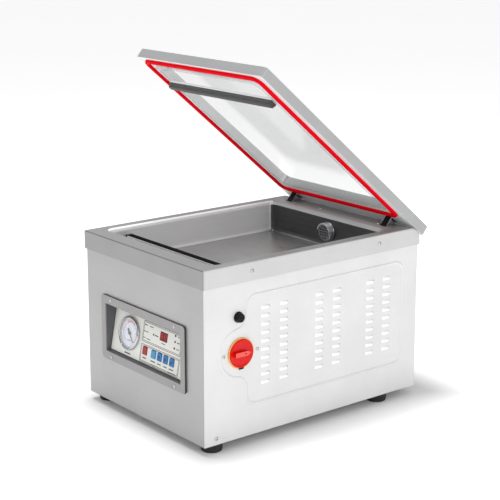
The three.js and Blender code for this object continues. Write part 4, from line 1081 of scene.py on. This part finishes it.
def all_screws():
    top, side, wall = DECK["top"], DECK["x"], BODY["x"]
    screws("deck_screws", [(-40, 186.5, top), (106, 186.5, top)], "z", 3.6, 2.2)
    screws("skirt_screws_right", [(-134, 279, side), (133, 279, side)], "x", 3.2, 2)
    screws("skirt_screws_left", [(-134, 279, -side), (133, 279, -side)], "x", 3.2, 2, face_sign=-1)
    screws("switch_screws", [(-187, 152, wall), (-121.3, 152, wall)], "x", 2.8, 1.8)
    screws("corner_screw", [(-201.5, 24.4, wall)], "x", 3.2, 2)
    corners = [(x, 142 + z, BEZEL["front"]) for x in (-89, 89) for z in (-48.3, 48.3)]
    screws("bezel_screws", corners, "y", 2.6, 1.4, face_sign=-1)


deck_skin()
side_skin("right_skin", "right_side_panel", 1)
side_skin("left_skin", "left_side_panel", -1)
panel_frame()
panel_plate()
panel_prints()
panel_display()
panel_keys()
gauge()
main_switch()
fuse_cap()
seal_bar_set()
suction_port()
lid_frame()
lid_dome()
lid_gasket()
pressure_bar()
lid_hinges()
feet()
all_screws()

# ---- finishes of the CAD nodes that stay ----
SLOTS = {part["node"]: part["material_slot"] for part in frame["record"]["subparts"]}
for name, node in frame["nodes"].items():
    if node.hide_render:
        continue
    node.data.materials.clear()
    node.data.materials.append(FINISH[SLOTS[name]])

# ---- floor and light ----
FLOOR_HALF = 12
SKY_LIGHT = 0.62
SKY_SEEN = 1.0
# area lights: name, place, aim, size and power
LIGHTS = (
    ("top", (-0.25, -0.2, 2.6), (0, 0, 0), (0.7, 0.7), 34),
    ("side", (2.6, -0.6, 1.1), (0, 0, 0.15), (1.4, 1.4), 17),
    ("front", (-0.9, -2.6, 1.2), (0, 0, 0.25), (1.2, 1.0), 8),
)


def floor():
    half = FLOOR_HALF
    mesh = bpy.data.meshes.new("floor")
    corners = [(-half, -half, 0), (half, -half, 0), (half, half, 0), (-half, half, 0)]
    mesh.from_pydata(corners, [], [(0, 1, 2, 3)])
    made = new_object("floor", mesh)
    mesh.materials.append(FINISH["pale_floor"])


def sky():
    """White sky that is seen at one strength and lights the machine at another."""
    world = bpy.data.worlds.new("studio")
    world.use_nodes = True
    tree = world.node_tree
    background = tree.nodes["Background"]
    background.inputs["Color"].default_value = (1, 1, 1, 1)
    ray = tree.nodes.new("ShaderNodeLightPath")
    strength = tree.nodes.new("ShaderNodeMapRange")
    strength.inputs["To Min"].default_value = SKY_LIGHT
    strength.inputs["To Max"].default_value = SKY_SEEN
    tree.links.new(ray.outputs["Is Camera Ray"], strength.inputs["Value"])
    tree.links.new(strength.outputs["Result"], background.inputs["Strength"])
    bpy.context.scene.world = world


def area_light(name, place, aim, size, power):
    data = bpy.data.lights.new(name, "AREA")
    data.shape = "RECTANGLE"
    data.size, data.size_y = size
    data.energy = power
    made = new_object(name, data)
    made.location = place
    made.rotation_euler = (Vector(aim) - Vector(place)).to_track_quat("-Z", "Y").to_euler()


floor()
sky()
for light in LIGHTS:
    area_light(*light)
bpy.context.scene.view_settings.view_transform = "Standard"
